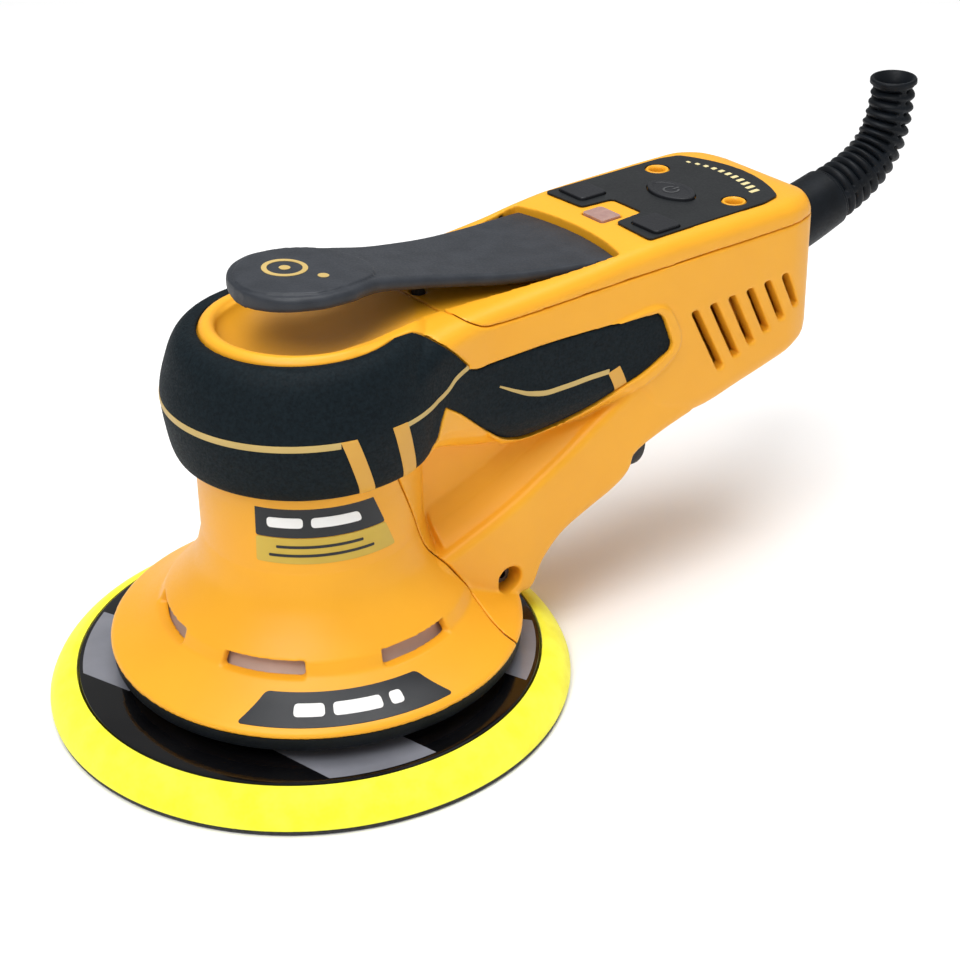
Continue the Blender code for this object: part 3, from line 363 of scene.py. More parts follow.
def loft(sections, closed=False):
    """Skins equal rings of points, given in millimetres, and caps both ends unless they close on themselves."""
    bm = bmesh.new()
    return capped(bm, [[bm.verts.new(Vector(point) * MM) for point in section] for section in sections], closed)


def rounded_section(x, half, low, high, top_radius, bottom_radius, steps=6):
    corners = [(half - top_radius, high - top_radius, top_radius, 0),
               (-half + top_radius, high - top_radius, top_radius, 90),
               (-half + bottom_radius, low + bottom_radius, bottom_radius, 180),
               (half - bottom_radius, low + bottom_radius, bottom_radius, 270)]
    return [(x, *polar(math.radians(start + 90 * k / steps), radius, y, z))
            for y, z, radius, start in corners for k in range(steps + 1)]


def neighbours(points):
    """Each point of a closed outline between the one before and the one after."""
    return zip(points[-1:] + points[:-1], points, points[1:] + points[:1])


def run_at(points, i):
    """Direction, in its first two coordinates, of an open line at point i."""
    before, after = points[max(i - 1, 0)], points[min(i + 1, len(points) - 1)]
    return Vector((after[0] - before[0], after[1] - before[1])).normalized()


def shell_loft(stations, inset=0, steps=4):
    sections = []
    rows = smooth_rows(stations, steps, keys=1)
    for i, (x, half, low, high, top_radius, bottom_radius) in enumerate(rows):
        shift = -inset if i == len(rows) - 1 else inset if i == 0 else 0
        sections.append(rounded_section(x + shift, half - inset, low + inset, high - inset,
                                        max(top_radius - inset, 0.8), max(bottom_radius - inset, 0.8)))
    return loft(sections)


def inset_profile(profile, inset):
    moved = []
    for i, (radius, z) in enumerate(profile):
        run = run_at(profile, i)
        moved.append((max(radius + run.y * inset, 0), z - run.x * inset))
    return moved


def grown_outline(outline, amount):
    area = sum(a[0] * b[1] - b[0] * a[1] for a, b in zip(outline, outline[1:] + outline[:1]))
    side = 1 if area > 0 else -1
    moved = []
    for before, here, after in neighbours(outline):
        first = (Vector(here) - Vector(before)).normalized()
        second = (Vector(after) - Vector(here)).normalized()
        normal = Vector((first.y + second.y, -first.x - second.x)) * side
        moved.append(tuple(Vector(here) + normal.normalized() * amount))
    return moved


def rounded_corners(outline, radius, steps=5):
    """An outline with every corner replaced by an arc that starts radius before it."""
    out = []
    for before, here, after in neighbours(outline):
        here = Vector(here)
        into = Vector(before) - here
        away = Vector(after) - here
        start = here + into.normalized() * min(radius, into.length * 0.45)
        end = here + away.normalized() * min(radius, away.length * 0.45)
        for k in range(steps + 1):
            t = k / steps
            out.append(tuple(start * (1 - t) ** 2 + here * 2 * t * (1 - t) + end * t ** 2))
    return out


def rounded_edges(obj, voxel=SHELL_VOXEL, passes=3, faces=SHELL_FACES):
    """Rebuilds a solid from fine cells and relaxes it, which turns every sharp edge into a small radius."""
    remesh = obj.modifiers.new("cells", "REMESH")
    remesh.mode = "VOXEL"
    remesh.voxel_size = voxel * MM
    relax = obj.modifiers.new("relax", "SMOOTH")
    relax.factor = 0.5
    relax.iterations = passes
    bake(obj)
    if len(obj.data.polygons) > faces:
        thin = obj.modifiers.new("thin", "DECIMATE")
        thin.ratio = faces / len(obj.data.polygons)
        bake(obj)
    return obj


# ------------ solids

def upper_solid(inset):
    """Head and handle in one, drawn in by inset."""
    profile = inset_profile(smooth_rows(HEAD_OUTER, 6, creases=(1,)), inset)
    profile[0] = (0, profile[1][1])
    return join(turned(profile + [(0, profile[-1][1])]), shell_loft(HANDLE, inset))


def lever_outline(grow):
    far = [(x, half) for x, half, _ in smooth_rows(LEVER, 5)]
    end, half = far[-1]
    across = [-half + 2 * half * k / 24 for k in range(1, 24)]
    arc = [(end + LEVER_ARC_RISE * (1 - (y / half) ** 2), y) for y in across]
    return grown_outline([(x, -y) for x, y in far] + arc + far[::-1], grow)


def dish_cutter():
    sections = []
    arc = [math.pi + math.pi * k / 24 for k in range(25)]
    for x, half, depth in smooth_rows(DISH, 5):
        sections.append([(x, half, DISH_RIM + 6), (x, -half, DISH_RIM + 6)]
                        + [(x, half * math.cos(angle), DISH_RIM + depth * math.sin(angle)) for angle in arc])
    return loft(sections)


def head_grip_outline(grow):
    rear = smooth_rows(HEAD_GRIP[1:11], 5, creases=(4, 5))
    return grown_outline([HEAD_GRIP[0]] + rear + [HEAD_GRIP[11]], grow)


def side_grip_outline(grow):
    rows = smooth_rows(SIDE_GRIP + SIDE_GRIP[:1], 4, creases=(0, 8, 9, 10, 11, 12, 13, 16))[:-1]
    return grown_outline(rows, grow)


def grip_zone(gap, side_grow):
    """Room of the soft grips, clear of the neck and of the lip round the head's hollow."""
    zone = slab(head_grip_outline(gap))
    cut(zone, disc(LIP_RADIUS - gap, 100, ABOVE))
    cut(zone, block((0, gap - LIP_HALF, 100), (40, LIP_HALF - gap, ABOVE)))
    cut(zone, disc(NECK_RADIUS + GAP - gap, 70, 90))
    for low, high in ((-60, gap - SIDE_GRIP_INNER), (SIDE_GRIP_INNER - gap, 60)):
        join(zone, prism(side_grip_outline(side_grow), low, high, "y"))
    return zone


def soft_grips():
    """Head grip and both side grips as one rubber skin, moulded together over the housing."""
    return keep_inside(cut(upper_solid(0), upper_solid(GRIP_THICKNESS)), grip_zone(0, 0.25))


def grip_pocket():
    return cut(grip_zone(GAP, GAP), upper_solid(GRIP_THICKNESS + GAP))


def bell_solid():
    outer = smooth_rows(BELL_OUTER, 5, creases=BELL_CREASES)
    solid = turned([(0, 80), (30.9, 80)] + outer + [(0, BELL_OUTER[-1][1])])
    return join(solid, shell_loft(DUCT))


def slot_wedge(centre):
    points = [polar(math.radians(centre + order * spread * (k / 8 - 1)), radius)
              for radius, order, spread in ((34, 1, SLOT_HALF - 2), (50, -1, SLOT_HALF + 1.4)) for k in range(17)]
    return prism(points, *SLOT_HEIGHTS, "z")


def motor_room():
    return turned(MOTOR_ROOM, segments=96, phase=0.02)


def front_housing():
    zone = slab([(-80, BELL_OUTER[0][1])] + smooth_rows(PARTING, 4) + [(-80, 12)], 80)
    shell = keep_inside(bell_solid(), zone)
    cut(shell, motor_room())
    for centre in SLOT_CENTRES:
        cut(shell, slot_wedge(centre))
    return rounded_edges(shell)


def rear_bell():
    edge = [(x + GAP, z) for x, z in smooth_rows(PARTING, 4)]
    return keep_inside(bell_solid(), slab([(12, 82)] + edge + [(130, 12), (130, 82)], 80))


def electronics_room():
    room = shell_loft(HANDLE[2:], 4.4)
    cut(room, block((-10, -40, 106.6), (95.8, 40, ABOVE)))
    return join(room, prism([(96, -23), (162, -20), (162, 20), (96, 23)], 100, 112, "z"))


def dust_room():
    return cut(shell_loft(DUCT[:7], DUCT_WALL), block((0, -40, 10), (37.2, 40, 80)))


def cover_zone(clearance):
    edge = [(x, z + clearance) for x, z in smooth_rows(COVER_SEAM, 4)]
    zone = slab([(30.8 + clearance, 140)] + edge + [(180, 140)])
    tongue = block((35 + clearance, -19 + clearance, 106.4 + clearance), (95, 19 - clearance, 112))
    return join(zone, tongue)


def vents():
    for k in range(VENTS):
        x, z, drop, lean = (first + step * k for first, step in zip(VENT_FIRST, VENT_STEP))
        outline = [(x, z), (x + VENT_WIDTH, z), (x + lean + VENT_WIDTH, z - drop), (x + lean, z - drop)]
        for low, high in ((-40, -20), (20, 40)):
            yield prism(outline, low, high, "y")


def lip_bead():
    """Rounded rim round the front of the head's hollow, fading out along the handle."""
    path = [(26, -22.6, 107.6, 0.7), (20, -22.7, 109.6, 0.9), (13, -23, 110.6, 1.1), (6, -24, 110.7, 1.5)]
    for k in range(25):
        rim = polar(math.radians(-90 - 180 * k / 24), 24.6)
        path.append((*rim, 110.9, 1.9 + 0.5 * math.sin(math.pi * k / 24)))
    path += [(x, -y, z, radius) for x, y, z, radius in reversed(path[:4])]
    sections = []
    for i, (x, y, z, radius) in enumerate(path):
        run = run_at(path, i)
        side = Vector((run.y, -run.x, 0))
        sections.append([Vector((x, y, z)) + side * radius * math.cos(math.tau * k / 20)
                         + Vector((0, 0, radius * math.sin(math.tau * k / 20))) for k in range(20)])
    return loft(sections)


def grip_rim():
    return keep_inside(shell_loft(HANDLE, -RIM_RISE), slab(rounded_corners(GRIP_RIM, 2.5)))


def web_fillet(side):
    """Sloping fill between the web and the duct's top edge."""
    sections = []
    for x, half, _, top, _, _ in smooth_rows(DUCT[2:10], 3, keys=1):
        rise = 9.5 if x < 70 else max(2, 9.5 - (x - 70) * 0.33)
        corners = [(half - 2, top - 0.9), (WEB_HALF - 2, top - 2), (WEB_HALF - 2, top + rise + 1),
                   (WEB_HALF, top + rise), (WEB_HALF + 3, top + rise * 0.52), (WEB_HALF + 6.5, top + rise * 0.18)]
        sections.append([(x, side * y, z) for y, z in corners])
    return loft(sections)


def port_rod(start, end, radius):
    return rod((start, 0, PORT_Z), (end, 0, PORT_Z), radius)


def handle_housing():
    shell = upper_solid(0)
    join(shell, rear_bell())
    join(shell, prism(WEB, -WEB_HALF, WEB_HALF, "y"))
    join(shell, port_rod(PORT_X[0] - 8, PORT_X[0] + 22, PORT_OUTER + 2.4))
    for side in SIDES:
        join(shell, web_fillet(side))
    join(shell, grip_rim())
    cut(shell, cover_zone(0))
    cut(shell, grip_pocket())
    cut(shell, dish_cutter())
    join(shell, lip_bead())
    cut(shell, lever_pocket())
    cut(shell, motor_room())
    cut(shell, electronics_room())
    cut(shell, dust_room())
    cut(shell, prism(grown_outline(WEB, -3.6), 3.4 - WEB_HALF, WEB_HALF - 3.4, "y"))
    for x, y, floor in BOARD_POSTS:
        join(shell, post(x, y, floor, BOARD_FLOOR - GAP, 2.8))
    join(shell, block(*SWITCH_SHELF))
    for side in SIDES:
        join(shell, post(SCREW_X, side * SCREW_Y, 63, 106.8, 3.4))
        join(shell, post(CLAMP_X, side * CLAMP_Y, 66, CLAMP_FLOOR, 2.8))
        cut(shell, post(SCREW_X, side * SCREW_Y, 100, 110, 1.5))
        cut(shell, post(CLAMP_X, side * CLAMP_Y, CLAMP_FLOOR - 7, 100, 1.4))
    cut(shell, port_rod(PORT_X[0] - 14, PORT_X[0] + 1, PORT_BORE))
    cut(shell, port_rod(PORT_X[0] - GAP, 120, PORT_OUTER + GAP))
    cut(shell, rod((154, 0, 90.5), (182, 0, 94), 11))
    cut(shell, post(PLUNGER_X, 0, 100, 112, PLUNGER_HOLE))
    for cutter in vents():
        cut(shell, cutter)
    x, z = SIDE_SCREW
    for side in SIDES:
        join(shell, rod((x, side * 26, z), (x, side * SIDE_BOSS, z), 6))
        cut(shell, rod((x, side * 40, z), (x, side * (SIDE_BOSS + 1.6), z), 4.2))
        cut(shell, rod((x, side * 24, z), (x, side * (SIDE_BOSS - 2), z), 1.8))
    return rounded_edges(shell)


def lever_pocket():
    return prism(lever_outline(0.8), POCKET_FLOOR, ABOVE, "z")


def top_cover():
    cover = keep_inside(shell_loft(HANDLE), cover_zone(GAP))
    cut(cover, lever_pocket())
    cut(cover, keep_inside(shell_loft(HANDLE, 2.5), block((96.5, -40, 100), (165, 40, 112.9))))
    for side in SIDES:
        join(cover, post(SCREW_X, side * SCREW_Y, 107.2, 113.6, 4))
    cut(cover, prism(label_outline(), PANEL_TOP - LABEL_THICKNESS + 0.1, 120, "z"))
    for side in SIDES:
        join(cover, post(SCREW_X, side * SCREW_Y, 112, PANEL_TOP + 0.5, 3.6, 3.4))
    for outline in button_outlines().values():
        cut(cover, prism(grown_outline(outline, GAP), 111, 120, "z"))
    cut(cover, prism(lens_outline(GAP), 111, 120, "z"))
    for side in SIDES:
        cut(cover, post(SCREW_X, side * SCREW_Y, 110.4, 118, 2.45))
        cut(cover, post(SCREW_X, side * SCREW_Y, 115, 116.6, 2.3, 3.3))
        cut(cover, post(SCREW_X, side * SCREW_Y, 100, 115, 1.5))
    cut(cover, post(PLUNGER_X, 0, 100, 120, PLUNGER_HOLE))
    x, z = LEVER_PIVOT
    cut(cover, rod((x, -24.6, z), (x, 24.6, z), 1))
    return rounded_edges(cover, 0.4, 5)


def label_outline(grow=0):
    notch_x, notch_y = LABEL_NOTCH
    corner, back = LABEL_BACK
    arc = []
    for k in range(9):
        y = ARC_HALF * (k / 4 - 1)
        arc.append((back - (back - corner) * (y / ARC_HALF) ** 2, y))
    points = [(LABEL_FRONT, -notch_y), (LABEL_FRONT - 1, -LABEL_HALF), (145, -LABEL_HALF)] + arc
    points += [(145, LABEL_HALF), (LABEL_FRONT - 1, LABEL_HALF), (LABEL_FRONT, notch_y), (notch_x, notch_y - 1),
               (notch_x, 1 - notch_y)]
    points = grown_outline(points, grow) if grow else points
    return rounded_corners(points, 1.6, 6)


def rounded_plan(x, y, half_x, half_y, radius, steps=8):
    return [polar(math.radians(start + 90 * k / steps), radius, x + sx * (half_x - radius), y + sy * (half_y - radius))
            for sx, sy, start in ((1, 1, 0), (-1, 1, 90), (-1, -1, 180), (1, -1, 270)) for k in range(steps + 1)]


def button_outlines():
    x, y = SPEED_BUTTON
    eye = []
    for k in range(64):
        angle = math.tau * k / 64
        half = 8.8 * (1 - 0.12 * math.sin(angle) ** 2)
        eye.append((POWER_BUTTON_X + 5.6 * math.sin(angle), half * math.cos(angle)))
    return {"speed_down_button": rounded_plan(x, -y, 4.8, 5.6, 1.4),
            "speed_up_button": rounded_plan(x, y, 4.8, 5.6, 1.4), "power_button": eye}


def lens_outline(grow=0):
    return rounded_plan(LENS_X, 0, 3.6 + grow, 4.6 + grow, 0.8)


def panel_overlay():
    label = prism(label_outline(-GAP), PANEL_TOP - LABEL_THICKNESS + 0.4, PANEL_TOP + 0.4, "z")
    for outline in button_outlines().values():
        cut(label, prism(grown_outline(outline, GAP - 0.05), 110, 120, "z"))
    for side in SIDES:
        cut(label, post(SCREW_X, side * SCREW_Y, 110, 120, 3.8))
    return rounded_edges(label, 0.22, 2, 70000)


def button_cap(outline):
    cap = prism(outline, 112.2, PANEL_TOP + 1.2, "z")
    join(cap, prism(grown_outline(outline, 0.9), 111.8, 112.6, "z"))
    dent = prism(grown_outline(outline, -1.5), BUTTON_TOP, PANEL_TOP + 3, "z")
    return rounded_edges(cut(cap, dent), 0.22, 3, 16000)


def lever_body(lift=0):
    rows = smooth_rows(LEVER + [(94, 23.1, 112.6)], 5)
    start, end = rows[0][0], rows[-1][0]
    sections = []
    thin, thinner = LEVER_THICKNESS
    for x, half, top in rows:
        thick = thin + (thinner - thin) * ((x - start) / (end - start))
        radius = min(1.7, thick * 0.45, half * 0.5)
        section = []
        for _, y, z in rounded_section(x, half, top - thick, top, radius, radius, 5):
            crown = 0.12 * (1 - (y / half) ** 2) if z > top - radius else 0
            section.append((x, y, z + crown + lift))
        sections.append(section)
    return loft(sections)


def lever_paddle():
    blade = lever_body()
    keep_inside(blade, prism(lever_outline(0.02), 100, ABOVE, "z"))
    plateau = PLATEAU_SIDE + [(x, -y) for x, y in reversed(PLATEAU_SIDE[1:-1])]
    join(blade, keep_inside(lever_body(PLATEAU_RISE), prism(plateau, 121, ABOVE, "z")))
    x, z = LEVER_PIVOT
    cut(blade, rod((x, -30, z), (x, 30, z), 1.15))
    return rounded_edges(blade, 0.32, faces=75000)


# ------------ smaller parts

def lever_coil():
    """Coil spring under the paddle, made at one fixed length here, though the real one shortens as the lever goes down.
    """
    turns, wire, radius, low, high = 2.5, 0.36, 2.3, POCKET_FLOOR + 0.5, 112.7
    count = round(turns * 32)
    sections = []
    for k in range(count + 1):
        outward = Vector((*polar(math.tau * turns * k / count, 1), 0))
        centre = Vector((SPRING_X, 0, low + (high - low) * k / count)) + outward * radius
        sections.append([centre + outward * wire * math.cos(math.tau * j / 12)
                         + Vector((0, 0, wire * math.sin(math.tau * j / 12))) for j in range(12)])
    return loft(sections)


def smooth_path(points, count):
    dense = smooth_rows(points, 12)
    lengths = [0]
    for a, b in zip(dense, dense[1:]):
        lengths.append(lengths[-1] + math.dist(a, b))
    spread = []
    i = 0
    for k in range(count):
        want = lengths[-1] * k / (count - 1)
        while i < len(dense) - 2 and lengths[i + 1] < want:
            i += 1
        share = (want - lengths[i]) / (lengths[i + 1] - lengths[i])
        spread.append((Vector(dense[i]).lerp(Vector(dense[i + 1]), share), want))
    return spread


def tube_rings(path, radius_at, segments):
    rings = []
    for i, (point, along) in enumerate(path):
        run = (path[min(i + 1, len(path) - 1)][0] - path[max(i - 1, 0)][0]).normalized()
        section = []
        for k in range(segments):
            angle = math.tau * k / segments
            radius = radius_at(along, angle)
            out = radius * math.cos(angle)
            section.append((point.x - run.y * out, radius * math.sin(angle), point.y + run.x * out))
        rings.append(section)
    return rings


def cord_sleeve():
    """Bent rubber sleeve: plain at the root, then ring ribs tied by one long rib down each side, and a flared mouth."""
    count, segments, ribs = 360, 96, 13
    path = smooth_path(RELIEF_PATH, count)
    length = path[-1][1]
    smooth_end = 30
    mouth = length - 1.7

    def outer(along, angle):
        if along < smooth_end:
            return 10.6 - 0.04 * along - 0.6 * max(0, (along - smooth_end + 0.8) / 0.8) ** 2
        if along > mouth:
            return 7.35 - 0.4 * max(0, (along - length + 0.6) / 0.6) ** 2
        share = (along - smooth_end) / (mouth - smooth_end)
        crest = 9 - 2.2 * share
        groove = crest - (1.7 + 0.3 * share) * (1 - abs(math.cos(math.pi * share * ribs)) ** 0.7)
        off = abs(math.degrees(math.acos(max(-1, min(1, math.cos(angle))))) - TIE_ANGLE) * math.radians(1) * crest
        tie = min(1, max(0, (TIE_HALF + 0.5 - off) / 0.5))
        return max(groove, groove + (crest - 0.3 - groove) * tie)

    def inner(along, angle):
        return RELIEF_BORE + 2 * max(0, (along - length + 4) / 4) ** 1.5

    rings = tube_rings(path, outer, segments)
    bore = tube_rings(smooth_path(RELIEF_PATH, 120), inner, segments)
    return loft(rings + bore[::-1], closed=True)


def dust_port():
    port = turned([(PORT_OUTER - 0.5, 38), (PORT_OUTER, 37.5), (PORT_OUTER, 30), (PORT_OUTER - 0.35, 29.4),
                   (PORT_OUTER - 0.35, 28.2), (PORT_OUTER, 27.6), (PORT_OUTER, 0), (PORT_BORE, 0),
                   (PORT_BORE, 37.4), (PORT_BORE + 0.6, 38)], closed=True, segments=96)
    turn = Matrix.Translation((PORT_X[0] * MM, 0, PORT_Z * MM)) @ Matrix.Rotation(math.radians(90), 4, "Y")
    port.data.transform(turn)
    return port


def brake_seal():
    return turned([(57.6, 18.5), (57.6, 15.4), (57.1, 14.7), (56.4, 14.4), (55.5, 14.7), (55, 15.4), (54.6, 18.5)],
                  closed=True)


def fan_shroud():
    outer = [(35.4, 34.8), (38.8, 31.2), (40.4, 27.4), (45.6, 23.4)]
    inner = [(radius - 1.4, z - 0.4) for radius, z in outer]
    shroud = turned(outer + inner[::-1], closed=True)
    x, z = SIDE_SCREW
    cut(shroud, block((30, -8, 20), (60, 8, 40)))
    for side in SIDES:
        low, high = sorted((side * 10, side * (SIDE_BOSS - 0.5)))
        lug = block((38.6, low, z - 2.6), (x + 3.4, high, z + 2.6))
        join(shroud, cut(lug, rod((x, side * 30, z), (x, 0, z), 1.7)))
    return shroud


def dust_holes(obj, low, high):
    for k in range(DUST_HOLES):
        x, y = polar(math.tau * k / DUST_HOLES, DUST_CIRCLE, *PAD_CENTRE)
        cut(obj, rod((x, y, low), (x, y, high), DUST_HOLE_RADIUS, 40))
    return obj


def backing_plate():
    plate = turned([(PLATE_RADIUS - 1.2, PLATE_TOP), (PLATE_RADIUS - 0.5, PLATE_TOP - 0.15),
                    (PLATE_RADIUS, PLATE_TOP - 0.8), (PLATE_RADIUS, 7.6), (2.6, 7.6), (2.6, PLATE_TOP)],
                   closed=True, centre=PAD_CENTRE, segments=180)
    return dust_holes(plate, 5, 14)


def pad_foam():
    outer = smooth_rows([(PLATE_RADIUS + GAP, 10.1), (67.2, 10.15), (69.4, 9.1), (71.6, 7.3), (73.3, 4.9),
                         (PAD_RADIUS, 2.4), (PAD_RADIUS, 1.7), (PAD_RADIUS - 0.3, HOOK_THICKNESS + 0.2)], 4)
    foam = turned(outer + [(9, HOOK_THICKNESS + 0.2), (9, 7.3), (PLATE_RADIUS + GAP, 7.3)], closed=True,
                  centre=PAD_CENTRE, segments=240)
    return dust_holes(foam, -2, 14)


def hook_face():
    face = turned([(0, HOOK_THICKNESS), (PAD_RADIUS - 0.5, HOOK_THICKNESS), (PAD_RADIUS - 0.4, 0.9),
                   (PAD_RADIUS - 0.4, 0.25), (PAD_RADIUS - 0.6, 0), (0, 0)], centre=PAD_CENTRE, segments=240)
    return dust_holes(face, -2, 4)


def plate_band(points):
    """A grey band on the plate's top, inside the given (x, y) outline: a painted reflection of the lamps on the glossy
    plate.
    """
    band = ring(48, PLATE_RADIUS - 1.5, PLATE_TOP - 0.3, PLATE_TOP + 0.06, 180, PAD_CENTRE)
    return keep_inside(band, prism(points, 5, 15, "z"))


# ------------ materials

def feed(node, values):
    for name, value in values.items():
        node.inputs[name].default_value = value
    return node


def texture_node(tree, kind, values):
    coords = tree.nodes.new("ShaderNodeTexCoord")
    node = feed(tree.nodes.new(kind), values)
    tree.links.new(coords.outputs["Object"], node.inputs["Vector"])
    return node


def surface(name, light, dark, rough, grain, depth, blotch=60, specular=0.5, metallic=0, sheen=0, coat=0):
    """A procedural finish: two tones over a soft blotch, uneven roughness and a fine grain in relief."""
    mat = bpy.data.materials.new(name)
    mat.use_nodes = True
    tree = mat.node_tree
    shader = tree.nodes["Principled BSDF"]
    tone = texture_node(tree, "ShaderNodeTexNoise", {"Scale": blotch, "Detail": 4, "Roughness": 0.5})
    ramp = tree.nodes.new("ShaderNodeValToRGB")
    for stop, position, colour in zip(ramp.color_ramp.elements, (0.35, 0.65), (dark, light)):
        stop.position = position
        stop.color = (*colour, 1)
    fine = texture_node(tree, "ShaderNodeTexNoise", {"Scale": grain, "Detail": 3, "Roughness": 0.6})
    spread = feed(tree.nodes.new("ShaderNodeMapRange"),
                  {"From Min": 0.3, "From Max": 0.7, "To Min": rough[0], "To Max": rough[1]})
    bump = feed(tree.nodes.new("ShaderNodeBump"), {"Strength": 0.6, "Distance": depth * MM})
    feed(shader, {"Metallic": metallic, "Sheen Weight": sheen, "Coat Weight": coat, "Specular IOR Level": specular})
    for source, output, target, socket in (
            (tone, "Fac", ramp, "Fac"), (ramp, "Color", shader, "Base Color"), (fine, "Fac", spread, "Value"),
            (spread, "Result", shader, "Roughness"), (fine, "Fac", bump, "Height"), (bump, "Normal", shader, "Normal")):
        tree.links.new(source.outputs[output], target.inputs[socket])
    return mat


def foam_surface():
    mat = surface("foam_cells", (0.98, 0.96, 0.05), (0.9, 0.86, 0.02), (0.75, 0.95), 900, 0.05, 140, sheen=0.15)
    tree = mat.node_tree
    old = tree.nodes["Bump"]
    cells = texture_node(tree, "ShaderNodeTexVoronoi", {"Scale": 1900})
    bump = feed(tree.nodes.new("ShaderNodeBump"), {"Strength": 0.35, "Distance": 0.12 * MM})
    tree.links.new(cells.outputs["Distance"], bump.inputs["Height"])
    tree.links.new(old.outputs["Normal"], bump.inputs["Normal"])
    tree.links.new(bump.outputs["Normal"], tree.nodes["Principled BSDF"].inputs["Normal"])
    return mat


# Each finish: name, light tone, dark tone, roughness from and to, grain scale, grain depth, blotch scale, specular
YELLOW = surface("moulded_yellow", (0.87, 0.40, 0.019), (0.84, 0.375, 0.016), (0.36, 0.48), 1500, 0.012, 35, 0.35)
STRIPE = surface("stripe_yellow", (0.68, 0.36, 0.06), (0.63, 0.33, 0.05), (0.4, 0.5), 1500, 0.01, 60, 0.3)
RUBBER = surface("grip_rubber_grain", (0.0042, 0.0098, 0.0135), (0.002, 0.0055, 0.008), (0.55, 0.8), 1700, 0.06,
                 900, 0.13)
PADDLE = surface("paddle_satin", (0.029, 0.033, 0.041), (0.021, 0.0245, 0.031), (0.4, 0.55), 1600, 0.02, 160, 0.3)
OVERLAY = surface("overlay_satin", (0.011, 0.013, 0.0145), (0.008, 0.0095, 0.011), (0.36, 0.5), 1400, 0.012,
                  90, 0.26)
DARK = surface("dark_plastic_grain", (0.012, 0.0135, 0.017), (0.008, 0.009, 0.012), (0.4, 0.58), 1500, 0.02,
               60, 0.35)
SLEEVE = surface("sleeve_rubber", (0.004, 0.0062, 0.0095), (0.002, 0.0032, 0.005), (0.42, 0.6), 1200, 0.02,
                 160, 0.18)
PLATE = surface("plate_gloss", (0.004, 0.004, 0.0045), (0.002, 0.002, 0.0025), (0.08, 0.14), 500, 0.004, 70, 0.4)
# Grey for the plate's bands: a painted reflection colour
PLATE_REFLECTION_GREY = surface("painted_reflection_grey", (0.21, 0.215, 0.245), (0.17, 0.175, 0.2), (0.14, 0.22), 500, 0.004)
FOAM = foam_surface()
HOOK = surface("hook_sheet", (0.03, 0.03, 0.035), (0.012, 0.012, 0.015), (0.8, 1), 2200, 0.25, 900, sheen=0.1)
GOLD = surface("stripe_gold", (0.56, 0.40, 0.14), (0.51, 0.36, 0.12), (0.42, 0.52), 1500, 0.01, 90, 0.3)
GAUGE = surface("gauge_gold", (0.76, 0.66, 0.34), (0.7, 0.6, 0.3), (0.4, 0.5), 1500, 0.005, 60, 0.3)
MARK_WHITE = surface("mark_white", (0.86, 0.86, 0.85), (0.8, 0.8, 0.79), (0.35, 0.45), 1500, 0.005)
LABEL_BLACK = surface("label_black", (0.012, 0.014, 0.018), (0.008, 0.01, 0.013), (0.3, 0.42), 1300, 0.006,
                      90, 0.35)
LABEL_GOLD = surface("label_gold", (0.6, 0.42, 0.06), (0.54, 0.37, 0.05), (0.32, 0.42), 1300, 0.006, 50, 0.3)
SHROUD = surface("shroud_blush", (0.6, 0.43, 0.36), (0.52, 0.37, 0.3), (0.35, 0.5), 1300, 0.01, 70)
LENS = surface("smoky_lens", (0.62, 0.36, 0.3), (0.5, 0.27, 0.23), (0.08, 0.16), 700, 0.01, 400, coat=0.6)
feed(LENS.node_tree.nodes["Principled BSDF"], {"Transmission Weight": 0.35})
STEEL = surface("machined_steel", (0.62, 0.62, 0.64), (0.5, 0.5, 0.53), (0.2, 0.38), 900, 0.006, metallic=1)
BLUED = surface("blued_steel", (0.09, 0.085, 0.085), (0.05, 0.048, 0.05), (0.3, 0.45), 900, 0.006, metallic=1)
BOARD = surface("board_mask", (0.03, 0.2, 0.08), (0.02, 0.14, 0.055), (0.25, 0.4), 900, 0.01)
ALLOY = surface("cast_alloy", (0.74, 0.75, 0.77), (0.62, 0.63, 0.65), (0.34, 0.5), 1100, 0.02, metallic=1)
COPPER = surface("winding_copper", (0.74, 0.34, 0.15), (0.6, 0.25, 0.1), (0.25, 0.4), 1500, 0.08, metallic=1)
IRON = surface("laminated_iron", (0.27, 0.28, 0.3), (0.18, 0.19, 0.2), (0.4, 0.6), 1300, 0.03, metallic=0.8)
FAN = surface("fan_plastic", (0.3, 0.31, 0.33), (0.25, 0.26, 0.28), (0.4, 0.55), 1300, 0.015)
ICON = surface("icon_grey", (0.06, 0.062, 0.066), (0.05, 0.052, 0.056), (0.35, 0.5), 1300, 0.005)


# ------------ printed and painted detail

HEAD_STRIPE_1 = [(-12.2, 94.4), (-8.2, 94.4), (-0.6, 73), (-4.8, 73)]
HEAD_STRIPE_2 = [(2.4, 94.6), (7.2, 94.5), (13.4, 73), (8.8, 73)]
HEAD_PIN = [(7.5, 93.8), (13.5, 93.9), (20.5, 94.1), (25.5, 95), (29.2, 97), (35, 98.5)]
SIDE_PIN = [(45.4, 88.6), (50.8, 85.6), (56, 83.2), (63, 81.7), (70, 81.7), (77, 81.9), (83.4, 81.8)]
SIDE_STRIPE = [(83.3, 81.2), (87.2, 82.3), (91.6, 73), (87.4, 73)]


def band_outline(points, width, start_width=None):
    """A strip of constant or growing width along a smooth line."""
    rows = smooth_rows(points, 5)
    left, right = [], []
    for i, (x, y) in enumerate(rows):
        run = run_at(rows, i)
        share = i / (len(rows) - 1)
        half = (width if start_width is None else start_width + (width - start_width) * min(1, share * 2.5)) / 2
        left.append((x - run.y * half, y + run.x * half))
        right.append((x + run.y * half, y - run.x * half))
    return left + right[::-1]


def lifted(obj, amount):
    """Moves a shape out along its own normals by amount."""
    push = obj.modifiers.new("push", "DISPLACE")
    push.strength = amount * MM
    push.mid_level = 0
    return bake(obj)


